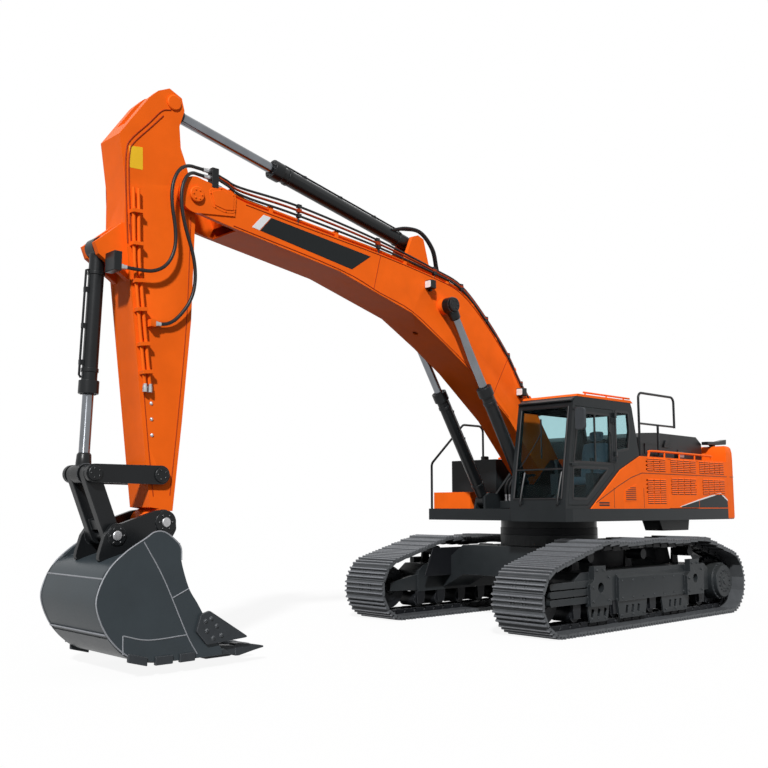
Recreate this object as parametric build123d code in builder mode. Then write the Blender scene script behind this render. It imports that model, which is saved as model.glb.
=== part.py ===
from build123d import *
import math
import os

os.makedirs("parts", exist_ok=True)

# Crawler excavator in mm: X forward, Y left, Z up, ground at Z 0 under the swing axis

# Tracks
gauge = 2900
shoe_width = 820
idler_x = 2200
idler_r = 470
sprocket_x = -2280
sprocket_r = 500
carrier_xs = (1170, -180, -1540)
top_run_z = 1228
top_run_sag = 35
lug_height = 36
shoe_pitch = 216
ridges_per_shoe = 3
ridge_foot = 40
shoe_depth = 60
chain_depth = 150
chain_width = 300
drum_clear = 60

# Undercarriage
frame_half = 220
frame_low = 385
frame_high = 800
roller_xs = (-1700, -1220, -740, -260, 220, 700, 1180, 1640)
roller_r = 108
carrier_r = 74
bearing_r = 760
bearing_low = 1250
bearing_high = 1360
bracket_out = 310
guard_spans = ((-1250, -450), (-70, 710), (900, 1440))
guard_pitch = 150

# House
deck_low = 1475
deck_high = 1652
house_half = 1535
panel = 20
walk_z = 2440
slot_zs = (2245, 2305, 2365, 1900, 1960, 2020, 2080)
slot_high = 24
bay_front = -260
bay_rear = -2960
door_front = -1050
door_back = -1990
weight_rear = -3490
weight_top = 2718
hood_half = 1180
hood_top = 2870
hood_front = -800
hood_back = -2800

# Cab
cab_in = 550
cab_out = house_half - panel
cab_wall = 50
door_rear = 420
hinge_r = 16
hinge_gap = 30

# Front attachment pivots as X, Z
boom_foot = (250, 2200)
boom_tip = (6830, 5170)
lift_foot = (1050, 1780)
lift_pin = (2750, 4480)
arm_base = (3100, 5350)
arm_pin = (7088, 6205)
bucket_pin = (7081, 1517)
guide_pin = (7140, 2016)
link_pin = (7899, 2020)
bucket_link_pin = (7642, 1387)
curl_base = (7830, 4420)

# Widths of the front attachment, measured from the middle
boom_half = 300
fork_half = 240
arm_half = 215
ear_in = 222
ear_out = 282
bucket_half = 620
lift_y = 440
plate = 18
pipe_r = 19
pipe_rise = 45
hose_r = 20
running = 0.3

# Faces of the ports that the hoses meet
nose_port_x = 6620
curl_port_x = 7740
arm_port_x = 7280


def side(y):
    """Plane facing right at a given Y, whose local axes are X and Z."""
    return Plane(origin=(0, y, 0), x_dir=(1, 0, 0), z_dir=(0, -1, 0))


def front(x):
    """Plane facing forward at a given X, whose local axes are Y and Z."""
    return Plane(origin=(x, 0, 0), x_dir=(0, 1, 0), z_dir=(1, 0, 0))


def level(z):
    """Plane facing up at a given Z."""
    return Plane(origin=(0, 0, z), x_dir=(1, 0, 0), z_dir=(0, 0, 1))


def between(a, b, y, start):
    """Plane square to the line from a to b in XZ, a distance from a, at a given Y."""
    length = math.hypot(b[0] - a[0], b[1] - a[1])
    ux, uz = (b[0] - a[0]) / length, (b[1] - a[1]) / length
    return Plane(
        origin=(a[0] + ux * start, y, a[1] + uz * start),
        x_dir=(0, 1, 0),
        z_dir=(ux, 0, uz),
    )


def span(a, b):
    """Distance between two points in XZ."""
    return math.hypot(b[0] - a[0], b[1] - a[1])


def inset(points, depth):
    """Polygon moved inward by a depth; the points run anticlockwise with X right and Z up."""
    moved = []
    count = len(points)
    for i in range(count):
        ax, az = points[i - 1]
        bx, bz = points[i]
        cx, cz = points[(i + 1) % count]
        l1 = math.hypot(bx - ax, bz - az)
        l2 = math.hypot(cx - bx, cz - bz)
        n1 = (-(bz - az) / l1, (bx - ax) / l1)
        n2 = (-(cz - bz) / l2, (cx - bx) / l2)
        dot = 1 + n1[0] * n2[0] + n1[1] * n2[1]
        moved.append(
            (
                bx + depth * (n1[0] + n2[0]) / dot,
                bz + depth * (n1[1] + n2[1]) / dot,
            )
        )
    return moved


def strap(a, b, ra, rb):
    """Polygon of the two common tangents of a circle at a and a circle at b."""
    length = span(a, b)
    heading = math.atan2(b[1] - a[1], b[0] - a[0])
    lean = math.acos((ra - rb) / length)
    points = []
    for centre, radius, turn in (
        (a, ra, -lean),
        (b, rb, -lean),
        (b, rb, lean),
        (a, ra, lean),
    ):
        points.append(
            (
                centre[0] + radius * math.cos(heading + turn),
                centre[1] + radius * math.sin(heading + turn),
            )
        )
    return points


def loop_outline(depth):
    """Track outline at a depth inside the lug tips, anticlockwise from under the idler."""
    points = []
    for i in range(16):
        a = math.radians(-90 + i * (74.6 + 90) / 15)
        points.append(
            (
                idler_x + (idler_r - depth) * math.cos(a),
                idler_r + (idler_r - depth) * math.sin(a),
            )
        )
    for i, x in enumerate(carrier_xs):
        points.append((x, top_run_z - depth))
        if i + 1 < len(carrier_xs):
            mid = (x + carrier_xs[i + 1]) / 2
            points.append((mid, top_run_z - top_run_sag - depth))
    for i in range(16):
        a = math.radians(104.8 + i * (270 - 104.8) / 15)
        points.append(
            (
                sprocket_x + (sprocket_r - depth) * math.cos(a),
                sprocket_r + (sprocket_r - depth) * math.sin(a),
            )
        )
    return points


def ridged_outline():
    """Outer outline of the shoes, with a pointed ridge for each bar across a shoe."""
    base = loop_outline(lug_height)
    legs = [span(base[i - 1], base[i]) for i in range(len(base))]
    total = sum(legs)
    count = round(total / shoe_pitch) * ridges_per_shoe
    feet = []
    for k in range(count):
        for shift in (-ridge_foot / 2, ridge_foot / 2):
            left = (total * k / count + shift) % total
            i = 0
            while left > legs[i]:
                left -= legs[i]
                i += 1
            ax, az = base[i - 1]
            bx, bz = base[i]
            share = left / legs[i]
            feet.append((ax + (bx - ax) * share, az + (bz - az) * share))
    points = []
    for k in range(count):
        (ax, az), (bx, bz) = feet[2 * k], feet[2 * k + 1]
        width = span((ax, az), (bx, bz))
        rise = lug_height / width
        tip = ((ax + bx) / 2 + (bz - az) * rise, (az + bz) / 2 - (bx - ax) * rise)
        points += [(ax, az), tip, (bx, bz)]
    return points


def track_loop(y):
    """One track: a band of ridged shoes with the narrower chain inside it."""
    with BuildPart() as loop:
        with BuildSketch(side(y + shoe_width / 2)):
            Polygon(*ridged_outline(), align=None)
            Polygon(*loop_outline(shoe_depth), align=None, mode=Mode.SUBTRACT)
        extrude(amount=shoe_width)
        with BuildSketch(side(y + chain_width / 2)):
            Polygon(*loop_outline(shoe_depth - 1), align=None)
            Polygon(*loop_outline(chain_depth), align=None, mode=Mode.SUBTRACT)
        extrude(amount=chain_width)
    return loop.part


def track_frame(sign):
    """Side frame: a hollow beam, a fork for the idler and a plate for the final drive."""
    y = sign * gauge / 2
    beam = [
        (-1900, frame_low),
        (1700, frame_low),
        (1700, 700),
        (1560, frame_high),
        (-1780, frame_high),
        (-1900, 720),
    ]
    fork = [(1650, 400), (2280, 420), (2280, 540), (1700, 640)]
    drive = (sprocket_x, sprocket_r)
    plate_r = sprocket_r - chain_depth - drum_clear
    with BuildPart() as frame:
        with BuildSketch(side(y + frame_half)):
            Polygon(*beam, align=None)
        extrude(amount=2 * frame_half)
        with BuildSketch(side(y + frame_half - 20)):
            Polygon(*inset(beam, 20), align=None)
        extrude(amount=2 * frame_half - 40, mode=Mode.SUBTRACT)
        with Locations((0, y, frame_low), (900, y, frame_low)):
            Cylinder(60, 100, mode=Mode.SUBTRACT)
        for edge in (y + 190, y - 120):
            with BuildSketch(side(edge)):
                Polygon(*fork, align=None)
            extrude(amount=70)
        inner = y - sign * 100
        with BuildSketch(side(inner + 50)):
            with Locations(drive):
                Circle(plate_r)
            Polygon(
                (drive[0], drive[1] - plate_r + 40),
                (-1880, frame_low),
                (-1880, 760),
                (drive[0], drive[1] + plate_r - 10),
                align=None,
            )
        extrude(amount=100)
        # Long cover on the outer face, with a sloping top
        with BuildSketch(front(-1120)):
            Polygon(
                (y + sign * frame_half, 370),
                (y + sign * 265, 370),
                (y + sign * 265, 690),
                (y + sign * frame_half, 745),
                align=None,
            )
        extrude(amount=1820)
        # Stepped brackets on the outer face, each with a round hole
        for x in (1210, -1350):
            with BuildSketch(side(max(y + sign * frame_half, y + sign * bracket_out))):
                Polygon(
                    (x - 250, 350),
                    (x + 250, 350),
                    (x + 250, 640),
                    (x + 150, 700),
                    (x + 150, 880),
                    (x - 120, 880),
                    (x - 120, 800),
                    (x - 250, 800),
                    align=None,
                )
                with Locations((x, 590)):
                    Circle(70, mode=Mode.SUBTRACT)
            extrude(amount=bracket_out - frame_half)
        # Three rails beside the idler
        for z in (440, 545, 650):
            with BuildSketch(side(max(y + sign * 189, y + sign * 265))):
                with Locations((1860, z)):
                    RectangleRounded(880, 84, 36)
            extrude(amount=76)
        # Guards outside the lower rollers
        for low, high in guard_spans:
            with BuildSketch(side(max(y + sign * 211, y + sign * 236))):
                Polygon((low + 60, 130), (high - 60, 130), (high, frame_low + 20), (low, frame_low + 20), align=None)
                with Locations(((low + high) / 2, 250)):
                    with GridLocations(guard_pitch, 1, 3, 1):
                        Rectangle(guard_pitch - 90, 110, rotation=14, mode=Mode.SUBTRACT)
            extrude(amount=25)
    return frame.part


def roller_set(sign):
    """Lower rollers in their saddles and carrier rollers on their stands."""
    y = sign * gauge / 2
    with BuildPart() as rollers:
        for x in roller_xs:
            with BuildSketch(side(y + 165)):
                with Locations((x, chain_depth + 1 + roller_r)):
                    Circle(roller_r)
            extrude(amount=330)
            for edge in (y + 210, y - 165):
                with BuildSketch(side(edge)):
                    Polygon(
                        (x - 70, 200), (x + 70, 200), (x + 90, frame_low), (x - 90, frame_low), align=None
                    )
                extrude(amount=45)
        for x in carrier_xs:
            with BuildSketch(side(y + 130)):
                with Locations((x, top_run_z - chain_depth - 14 - carrier_r)):
                    Circle(carrier_r)
            extrude(amount=260)
            with BuildSketch(side(y - 130)):
                Polygon(
                    (x - 90, frame_high), (x + 90, frame_high), (x + 60, 1040), (x - 60, 1040), align=None
                )
            extrude(amount=40)
    return rollers.part


def idler_wheel(sign):
    """Front idler with its hub ends against the fork."""
    y = sign * gauge / 2
    with BuildPart() as wheel:
        with BuildSketch(side(y + 75)):
            with Locations((idler_x, idler_r)):
                Circle(idler_r - chain_depth - 2)
        extrude(amount=150)
        with BuildSketch(side(y + 120)):
            with Locations((idler_x, idler_r)):
                Circle(95)
        extrude(amount=240)
        for edge in (y + 90, y - 75):
            with BuildSketch(side(edge)):
                with Locations((idler_x, idler_r)):
                    Circle(210)
                    Circle(120, mode=Mode.SUBTRACT)
            extrude(amount=15)
    return wheel.part


def drive_wheel(sign):
    """Toothed drive wheel against the frame's plate, and the tapered drum outside it."""
    y = sign * gauge / 2
    with BuildPart() as wheel:
        with BuildSketch(side(y + 50)):
            with Locations((sprocket_x, sprocket_r)):
                Circle(sprocket_r - chain_depth - 4)
        extrude(amount=100)
    return wheel.part


def drive_drum(sign):
    """Final drive drum outside the drive wheel, smaller towards its cover."""
    y = sign * gauge / 2
    widest = sprocket_r - chain_depth - drum_clear
    steps = ((50, 150, widest), (150, 290, widest - 40), (290, 330, widest - 90))
    with BuildPart() as drum:
        for near, far, radius in steps:
            high = max(y + sign * near, y + sign * far)
            with BuildSketch(side(high)):
                with Locations((sprocket_x, sprocket_r)):
                    Circle(radius)
            extrude(amount=far - near)
    return drum.part


# Undercarriage
body_half = gauge / 2 - frame_half
leg_root = 800
with BuildPart() as carbody:
    for x in (-1150, 500):
        with BuildSketch(front(x)):
            Polygon(
                (-body_half, 420),
                (-leg_root, 640),
                (leg_root, 640),
                (body_half, 420),
                (body_half, 790),
                (leg_root, 1090),
                (-leg_root, 1090),
                (-body_half, 790),
                align=None,
            )
        extrude(amount=650)
        with BuildSketch(front(x + 30)):
            Polygon(
                (30 - body_half, 480),
                (-leg_root, 680),
                (leg_root, 680),
                (body_half - 30, 480),
                (body_half - 30, 740),
                (leg_root, 1050),
                (-leg_root, 1050),
                (30 - body_half, 740),
                align=None,
            )
        extrude(amount=590, mode=Mode.SUBTRACT)
    with Locations((0, 0, 870)):
        Box(1100, 1500, 440)
        Box(1020, 1420, 360, mode=Mode.SUBTRACT)
    with BuildSketch(level(1050)):
        Circle(bearing_r)
        Circle(bearing_r - 140, mode=Mode.SUBTRACT)
    extrude(amount=bearing_low - 1050)
    with Locations((0, 0, 660)):
        Cylinder(200, 200, mode=Mode.SUBTRACT)
    for x in (-825, 825):
        with Locations((x, 0, 660)):
            Cylinder(100, 160, mode=Mode.SUBTRACT)
carbody.part.label = "carbody"
export_step(carbody.part, "parts/carbody.step")

with BuildPart() as swing_bearing:
    with BuildSketch(level(bearing_low)):
        Circle(bearing_r)
        Circle(bearing_r - 140, mode=Mode.SUBTRACT)
    extrude(amount=bearing_high - bearing_low)
swing_bearing.part.label = "swing_bearing"
export_step(swing_bearing.part, "parts/swing_bearing.step")

for word, sign in (("left", 1), ("right", -1)):
    made = {
        "track_" + word: track_loop(sign * gauge / 2),
        "track_frame_" + word: track_frame(sign),
        "rollers_" + word: roller_set(sign),
        "idler_" + word: idler_wheel(sign),
        "drive_wheel_" + word: drive_wheel(sign),
        "drive_drum_" + word: drive_drum(sign),
    }
    for name, solid in made.items():
        solid.label = name
        export_step(solid, "parts/" + name + ".step")

# House
upright = [
    (-180, deck_high),
    (1180, deck_high),
    (1180, 1840),
    (1080, 1900),
    (900, 1880),
    (470, 2280),
    (330, 2400),
    (170, 2400),
    (40, 2280),
]
lug = [(910, deck_high), (1180, deck_high), (1135, 1800), (965, 1800)]
deck_plan = [
    (bay_rear, -house_half),
    (-300, -house_half),
    (1180, 35 - house_half),
    (1180, 545),
    (1330, 560),
    (1640, 560),
    (1640, cab_out),
    (1500, house_half),
    (bay_rear, house_half),
]
with BuildPart() as swing_frame:
    with BuildSketch(level(deck_low)):
        Polygon(*deck_plan, align=None)
    extrude(amount=deck_high - deck_low)
    with BuildSketch(level(deck_low)):
        Polygon(*inset(deck_plan, 40), align=None)
    extrude(amount=deck_high - deck_low - 28, mode=Mode.SUBTRACT)
    for y in (-boom_half - 22, boom_half + 22):
        with Locations(((bay_rear + 1180) / 2, y, (deck_low + deck_high) / 2)):
            Box(1180 - bay_rear, 40, deck_high - deck_low)
    for x in (-1400, 900):
        with Locations((x, 0, (deck_low + deck_high) / 2)):
            Box(30, 2 * house_half - 60, deck_high - deck_low)
    with BuildSketch(level(bearing_high + running)):
        Circle(bearing_r - 10)
        Circle(bearing_r - 140, mode=Mode.SUBTRACT)
    extrude(amount=deck_high - bearing_high - 10)
    for near in (boom_half + 42, -(boom_half + 2)):
        with BuildSketch(side(near)):
            Polygon(*upright, align=None)
        extrude(amount=40)
    for near in (lift_y + 100, -(lift_y + 66)):
        with BuildSketch(side(near)):
            Polygon(*lug, align=None)
            with Locations(lift_foot):
                Circle(88)
        extrude(amount=34)
    for near in (boom_half + 76, -(boom_half + 42)):
        with BuildSketch(side(near)):
            with Locations(lift_foot):
                Circle(90)
        extrude(amount=34)
    for near in (lift_y + 80, -(boom_half + 60)):
        with BuildSketch(side(near)):
            with Locations(lift_foot):
                Circle(50)
        extrude(amount=160)
    # Box under the deck
    with BuildSketch(side(1200)):
        Polygon((-1310, deck_low + 1), (-2250, deck_low + 1), (-2210, 1300), (-1410, 1300), align=None)
    extrude(amount=320)
    with BuildSketch(side(boom_half + 60)):
        with Locations(boom_foot):
            Circle(80)
    extrude(amount=2 * boom_half + 120)
swing_frame.part.label = "swing_frame"
export_step(swing_frame.part, "parts/swing_frame.step")

weight_plan = [
    (bay_rear, house_half),
    (bay_rear - 220, house_half),
    (bay_rear - 410, house_half - 180),
    (bay_rear - 480, house_half - 560),
    (weight_rear, house_half - 1035),
    (weight_rear, 1035 - house_half),
    (bay_rear - 480, 560 - house_half),
    (bay_rear - 410, 180 - house_half),
    (bay_rear - 220, -house_half),
    (bay_rear, -house_half),
]
with BuildPart() as counterweight:
    with BuildSketch(level(deck_low)):
        Polygon(*weight_plan, align=None)
    extrude(amount=weight_top - deck_low)
    # Rear edge of the top leans in
    with BuildSketch(side(house_half + 10)):
        Polygon(
            (weight_rear - 10, 2330),
            (weight_rear + 60, 2560),
            (weight_rear + 190, weight_top + 10),
            (weight_rear - 10, weight_top + 10),
            align=None,
        )
    extrude(amount=2 * house_half + 20, mode=Mode.SUBTRACT)
    # Lifting eyes on top
    eye_x = bay_rear - 150
    for y in (-800, 800):
        with BuildSketch(side(y + 30)):
            Polygon(
                (eye_x - 100, weight_top - 20),
                (eye_x + 100, weight_top - 20),
                (eye_x + 70, weight_top + 112),
                (eye_x - 70, weight_top + 112),
                align=None,
            )
            with Locations((eye_x, weight_top + 57)):
                Circle(32, mode=Mode.SUBTRACT)
        extrude(amount=60)
counterweight.part.label = "counterweight"
export_step(counterweight.part, "parts/counterweight.step")

with BuildPart() as engine_block:
    with Locations((-1350, 0, deck_high + 330)):
        Box(1350, 900, 660)
engine_block.part.label = "engine_block"
export_step(engine_block.part, "parts/engine_block.step")

with BuildPart() as top_deck:
    with Locations(((bay_front + bay_rear) / 2, 0, walk_z - panel / 2)):
        Box(bay_front - bay_rear, 2 * house_half, panel)
    with Locations(((hood_front + hood_back) / 2, 0, walk_z - panel / 2)):
        Box(hood_front - hood_back - 140, 2 * hood_half - 60, panel, mode=Mode.SUBTRACT)
    # Bulkhead behind the cab and posts between the side doors
    with Locations((bay_front - panel / 2, 0, (deck_high + walk_z - panel) / 2)):
        Box(panel, 2 * house_half, walk_z - panel - deck_high)
    for x in (door_front, door_back):
        for y in (-1, 1):
            with Locations((x, y * (house_half - 45), (deck_high + walk_z - panel) / 2)):
                Box(80, 50, walk_z - panel - deck_high)
    # Front tapering panel beside the cab
    with BuildSketch(side(house_half)):
        Polygon(
            (bay_front, deck_high),
            (1060, deck_high),
            (285, 2217),
            (bay_front, walk_z),
            align=None,
        )
    extrude(amount=panel)
top_deck.part.label = "top_deck"
export_step(top_deck.part, "parts/top_deck.step")


def slot_rows(sign, x_front, x_rear):
    """Rows of air slots through a side panel, three above the seam and four below it."""
    for z in slot_zs:
        with Locations(((x_front + x_rear) / 2, sign * (house_half - panel / 2), z)):
            Box(x_front - x_rear, 2 * panel, slot_high, mode=Mode.SUBTRACT)


def bay_panel(sign, x_front, x_rear):
    """Side panel of the engine bay between two X stations."""
    y = sign * (house_half - panel / 2)
    with BuildPart() as sheet:
        with Locations(((x_front + x_rear) / 2, y, (deck_high + walk_z - panel) / 2)):
            Box(x_front - x_rear, panel, walk_z - panel - deck_high)
        slot_rows(sign, x_front - 130, x_rear + 90)
    return sheet.part


def bay_door(sign, x_front, x_rear):
    """Side door of the engine bay with a small gap all round."""
    y = sign * (house_half - panel / 2)
    with BuildPart() as leaf:
        with Locations(((x_front + x_rear) / 2, y, (deck_high + walk_z - panel) / 2)):
            Box(x_front - x_rear - 12, panel, walk_z - panel - deck_high - 12)
        with Locations((x_rear + 90, sign * (house_half + 5), 2000)):
            Box(60, 10, 120)
        slot_rows(sign, x_front - 80, x_rear + 80)
    return leaf.part


for name, solid in (
    ("side_panel_left", bay_panel(1, bay_front - panel, door_front)),
    ("side_panel_right", bay_panel(-1, bay_front - panel, door_front)),
    ("side_door_left", bay_door(1, door_front, door_back)),
    ("side_door_right", bay_door(-1, door_front, door_back)),
    ("rear_panel_left", bay_panel(1, door_back, bay_rear)),
    ("rear_panel_right", bay_panel(-1, door_back, bay_rear)),
):
    solid.label = name
    export_step(solid, "parts/" + name + ".step")

hood_side = [
    (hood_back, walk_z + running),
    (hood_front, walk_z + running),
    (hood_front, 2770),
    (hood_front - 110, hood_top - 25),
    (hood_front - 520, hood_top),
    (hood_back + 180, hood_top - 10),
    (hood_back, 2750),
]
hood_wall = 6
with BuildPart() as engine_hood:
    with BuildSketch(side(hood_half)):
        Polygon(*hood_side, align=None)
    extrude(amount=2 * hood_half)
    with BuildSketch(side(hood_half - hood_wall)):
        Polygon(*inset(hood_side, hood_wall), align=None)
    extrude(amount=2 * (hood_half - hood_wall), mode=Mode.SUBTRACT)
    with Locations(((hood_front + hood_back) / 2, 0, walk_z)):
        Box(hood_front - hood_back - 2 * hood_wall, 2 * (hood_half - hood_wall), 60, mode=Mode.SUBTRACT)
engine_hood.part.label = "engine_hood"
export_step(engine_hood.part, "parts/engine_hood.step")

tank_in = 570
tank_wide = house_half - 5 - tank_in
tank_y = -tank_in - tank_wide / 2
with BuildPart() as fuel_tank:
    with Locations((170, tank_y, (deck_high + walk_z) / 2)):
        Box(840, tank_wide, walk_z - deck_high)
        Box(828, tank_wide - 12, walk_z - deck_high - 12, mode=Mode.SUBTRACT)
    with Locations((300, tank_y, walk_z - 6)):
        Cylinder(60, 80)
        Cylinder(50, 81, mode=Mode.SUBTRACT)
fuel_tank.part.label = "fuel_tank"
export_step(fuel_tank.part, "parts/fuel_tank.step")

box_in = 690
box_wide = house_half - 65 - box_in
box_y = -box_in - box_wide / 2
with BuildPart() as tool_box:
    with Locations((845, box_y, deck_high + 130)):
        Box(490, box_wide, 260)
        Box(478, box_wide - 12, 248, mode=Mode.SUBTRACT)
    with Locations((845, box_y, deck_high)):
        Cylinder(30, 40, mode=Mode.SUBTRACT)
tool_box.part.label = "tool_box"
export_step(tool_box.part, "parts/tool_box.step")

# Handrails of round tube
rail_y = house_half - 95
front_rail_y = 65 - house_half
front_post = 1140
rail_front = -410
rail_back = -1455
rail_mid = -950
rail_low = 2950
rail_high = 3425
with BuildPart() as handrail_left:
    with BuildLine():
        FilletPolyline(
            (rail_front, rail_y, walk_z),
            (rail_front, rail_y, rail_high),
            (rail_back, rail_y, rail_high),
            (rail_back, rail_y, rail_low - 19),
            radius=90,
        )
    with BuildSketch(level(walk_z).move(Location((rail_front, rail_y, 0)))):
        Circle(19)
    sweep()
    with Locations(((rail_front + rail_back) / 2, rail_y, rail_low)):
        Cylinder(16, rail_front - rail_back, rotation=(0, 90, 0))
    with BuildSketch(level(walk_z).move(Location((rail_mid, rail_y, 0)))):
        Circle(19)
    extrude(amount=rail_low - walk_z)
handrail_left.part.label = "handrail_left"
export_step(handrail_left.part, "parts/handrail_left.step")

with BuildPart() as handrail_right:
    with BuildLine():
        FilletPolyline(
            (front_post, front_rail_y, deck_high),
            (front_post, front_rail_y, 2380),
            (360, front_rail_y, 3060),
            (-150, front_rail_y, 3060),
            (-150, front_rail_y, walk_z),
            radius=110,
        )
    with BuildSketch(level(deck_high).move(Location((front_post, front_rail_y, 0)))):
        Circle(19)
    sweep()
handrail_right.part.label = "handrail_right"
export_step(handrail_right.part, "parts/handrail_right.step")

tail_y = 1230
with BuildPart() as exhaust:
    with BuildSketch(side(tail_y + 60)):
        Polygon(
            (hood_back - 20, 2735),
            (weight_rear + 300, 2745),
            (weight_rear + 10, 2765),
            (weight_rear, 2855),
            (weight_rear + 300, 2805),
            (hood_back - 20, 2790),
            align=None,
        )
    extrude(amount=120)
    with Locations((bay_rear - 120, tail_y, weight_top + 20)):
        Box(80, 80, 40)
exhaust.part.label = "exhaust"
export_step(exhaust.part, "parts/exhaust.step")

# Cab
cab_top = 3228
cab_side = [
    (-262, deck_high),
    (1636, deck_high),
    (1636, 1760),
    (1400, 3150),
    (1330, cab_top),
    (-60, cab_top),
    (-100, 3150),
    (bay_front + 2, 2470),
]
cab_side[0] = (bay_front + 2, deck_high)
cab_inner = inset(cab_side, cab_wall)


def front_x(z, back):
    """X of the cab's sloping front face at a height, moved back by a distance."""
    return 1636 - (z - 1760) * (1636 - 1400) / (3150 - 1760) - back


door_hole = [
    (1110, 1700),
    (front_x(1760, 62), 1700),
    (front_x(1760, 62), 1760),
    (front_x(3090, 62), 3090),
    (door_rear, 3090),
    (door_rear, 2200),
]
quarter_hole = [(40, 2530), (360, 2480), (360, 3080), (10, 3080), (-20, 2800)]
right_hole = [(200, 1990), (1480, 1990), (front_x(3070, 90), 3070), (60, 3070)]
front_hole = (cab_in + 70, cab_out - 70, 1790, 3080)
rear_hole = (cab_in + 90, cab_out - 90, 2560, 3060)

door_axis = (door_rear - 3, cab_out + hinge_gap)
door_hinge_zs = (2330, 2900)
hinge_leaf = 70


def hinge_half(way):
    """Section of a hinge half: a round knuckle on the axis and a leaf behind or ahead of it."""
    with Locations(door_axis):
        Circle(hinge_r)
    x, y = door_axis
    Polygon((x, cab_out), (x + way * 80, cab_out), (x + way * 80, cab_out + 14), (x, y), align=None)


with BuildPart() as cab_shell:
    with BuildSketch(side(cab_out)):
        Polygon(*cab_side, align=None)
    extrude(amount=cab_out - cab_in)
    with BuildSketch(side(cab_out - cab_wall)):
        Polygon(*cab_inner, align=None)
    extrude(amount=cab_out - cab_in - 2 * cab_wall, mode=Mode.SUBTRACT)
    with BuildSketch(side(cab_out + 10)):
        Polygon(*door_hole, align=None)
        Polygon(*quarter_hole, align=None)
    extrude(amount=cab_wall + 20, mode=Mode.SUBTRACT)
    with BuildSketch(side(cab_in + cab_wall + 10)):
        Polygon(*right_hole, align=None)
    extrude(amount=cab_wall + 20, mode=Mode.SUBTRACT)
    y0, y1, z0, z1 = front_hole
    with BuildSketch(front(1250)):
        Polygon((y0, z0), (y1, z0), (y1, z1), (y0, z1), align=None)
    extrude(amount=500, mode=Mode.SUBTRACT)
    y0, y1, z0, z1 = rear_hole
    with BuildSketch(front(-400)):
        Polygon((y0, z0), (y1, z0), (y1, z1), (y0, z1), align=None)
    extrude(amount=420, mode=Mode.SUBTRACT)
    # Pillar halves of the door hinges
    for z in door_hinge_zs:
        with BuildSketch(level(z + hinge_leaf + 10)):
            hinge_half(-1)
        extrude(amount=hinge_leaf)
cab_shell.part.label = "cab_shell"
export_step(cab_shell.part, "parts/cab_shell.step")

with BuildPart() as cab_roof:
    with BuildSketch(side(cab_out + 4)):
        roof_low = cab_top + running
        Polygon((-127, roof_low), (1330, roof_low), (1300, 3262), (-60, 3266), align=None)
    extrude(amount=cab_out - cab_in - 16)
    # Rail on three posts
    with BuildSketch(front(-220)):
        with Locations((cab_out - 115, 3315)):
            Circle(14)
    extrude(amount=1200)
    for x in (-60, 400, 940):
        with Locations((x, cab_out - 115, 3285)):
            Cylinder(12, 60)
cab_roof.part.label = "cab_roof"
export_step(cab_roof.part, "parts/cab_roof.step")

with BuildPart() as mirror:
    with BuildSketch(front(1425)):
        with Locations((cab_out + 150, 2890)):
            RectangleRounded(150, 300, 40)
    extrude(amount=50)
    with BuildSketch(level(3030)):
        Polygon(
            (1370, cab_out),
            (1410, cab_out),
            (1470, cab_out + 110),
            (1470, cab_out + 170),
            (1425, cab_out + 170),
            (1425, cab_out + 120),
            align=None,
        )
    extrude(amount=22)
mirror.part.label = "mirror"
export_step(mirror.part, "parts/mirror.step")

with BuildPart() as cab_glass:
    y0, y1, z0, z1 = front_hole
    with BuildSketch(side(y1)):
        Polygon(
            (front_x(z0, 28), z0),
            (front_x(z0, 20), z0),
            (front_x(z1, 20), z1),
            (front_x(z1, 28), z1),
            align=None,
        )
    extrude(amount=y1 - y0)
    with BuildSketch(side(cab_out - 15)):
        Polygon(*quarter_hole, align=None)
    extrude(amount=8)
    with BuildSketch(side(cab_in + 23)):
        Polygon(*right_hole, align=None)
    extrude(amount=8)
    y0, y1, z0, z1 = rear_hole
    lean = (-100 - (bay_front + 2)) / (3150 - 2470)
    with BuildSketch(side(y1)):
        Polygon(
            (bay_front + 22 + (z0 - 2470) * lean, z0),
            (bay_front + 30 + (z0 - 2470) * lean, z0),
            (bay_front + 30 + (z1 - 2470) * lean, z1),
            (bay_front + 22 + (z1 - 2470) * lean, z1),
            align=None,
        )
    extrude(amount=y1 - y0)
cab_glass.part.label = "cab_glass"
export_step(cab_glass.part, "parts/cab_glass.step")

door_leaf = inset(door_hole, 6)
door_upper = [(510, 2300), (1430, 2300), (front_x(3010, 150), 3010), (510, 3010)]
door_lower = [(1130, 1790), (1470, 1790), (1440, 2230), (560, 2230)]
with BuildPart() as cab_door:
    with BuildSketch(side(cab_out)):
        Polygon(*door_leaf, align=None)
        Polygon(*door_upper, align=None, mode=Mode.SUBTRACT)
        Polygon(*door_lower, align=None, mode=Mode.SUBTRACT)
    extrude(amount=40)
    with Locations((1440, cab_out + 12, 2265)):
        Box(120, 24, 34)
    for z in door_hinge_zs:
        with BuildSketch(level(z)):
            hinge_half(1)
        extrude(amount=hinge_leaf)
cab_door.part.label = "cab_door"
export_step(cab_door.part, "parts/cab_door.step")

with BuildPart() as door_glass:
    with BuildSketch(side(cab_out - 16)):
        Polygon(*door_upper, align=None)
        Polygon(*door_lower, align=None)
    extrude(amount=8)
door_glass.part.label = "door_glass"
export_step(door_glass.part, "parts/door_glass.step")

floor_z = deck_high + cab_wall
seat_y = (cab_in + cab_out) / 2
console_out = 310
with BuildPart() as operator_seat:
    with Locations((420, seat_y, floor_z + 150)):
        Box(360, 360, 300)
    with Locations((440, seat_y, floor_z + 360)):
        Box(520, 460, 120)
    with BuildSketch(side(seat_y + 225)):
        Polygon(
            (180, floor_z + 300), (300, floor_z + 300), (190, floor_z + 1120), (90, floor_z + 1120), align=None
        )
    extrude(amount=450)
operator_seat.part.label = "operator_seat"
export_step(operator_seat.part, "parts/operator_seat.step")

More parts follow.
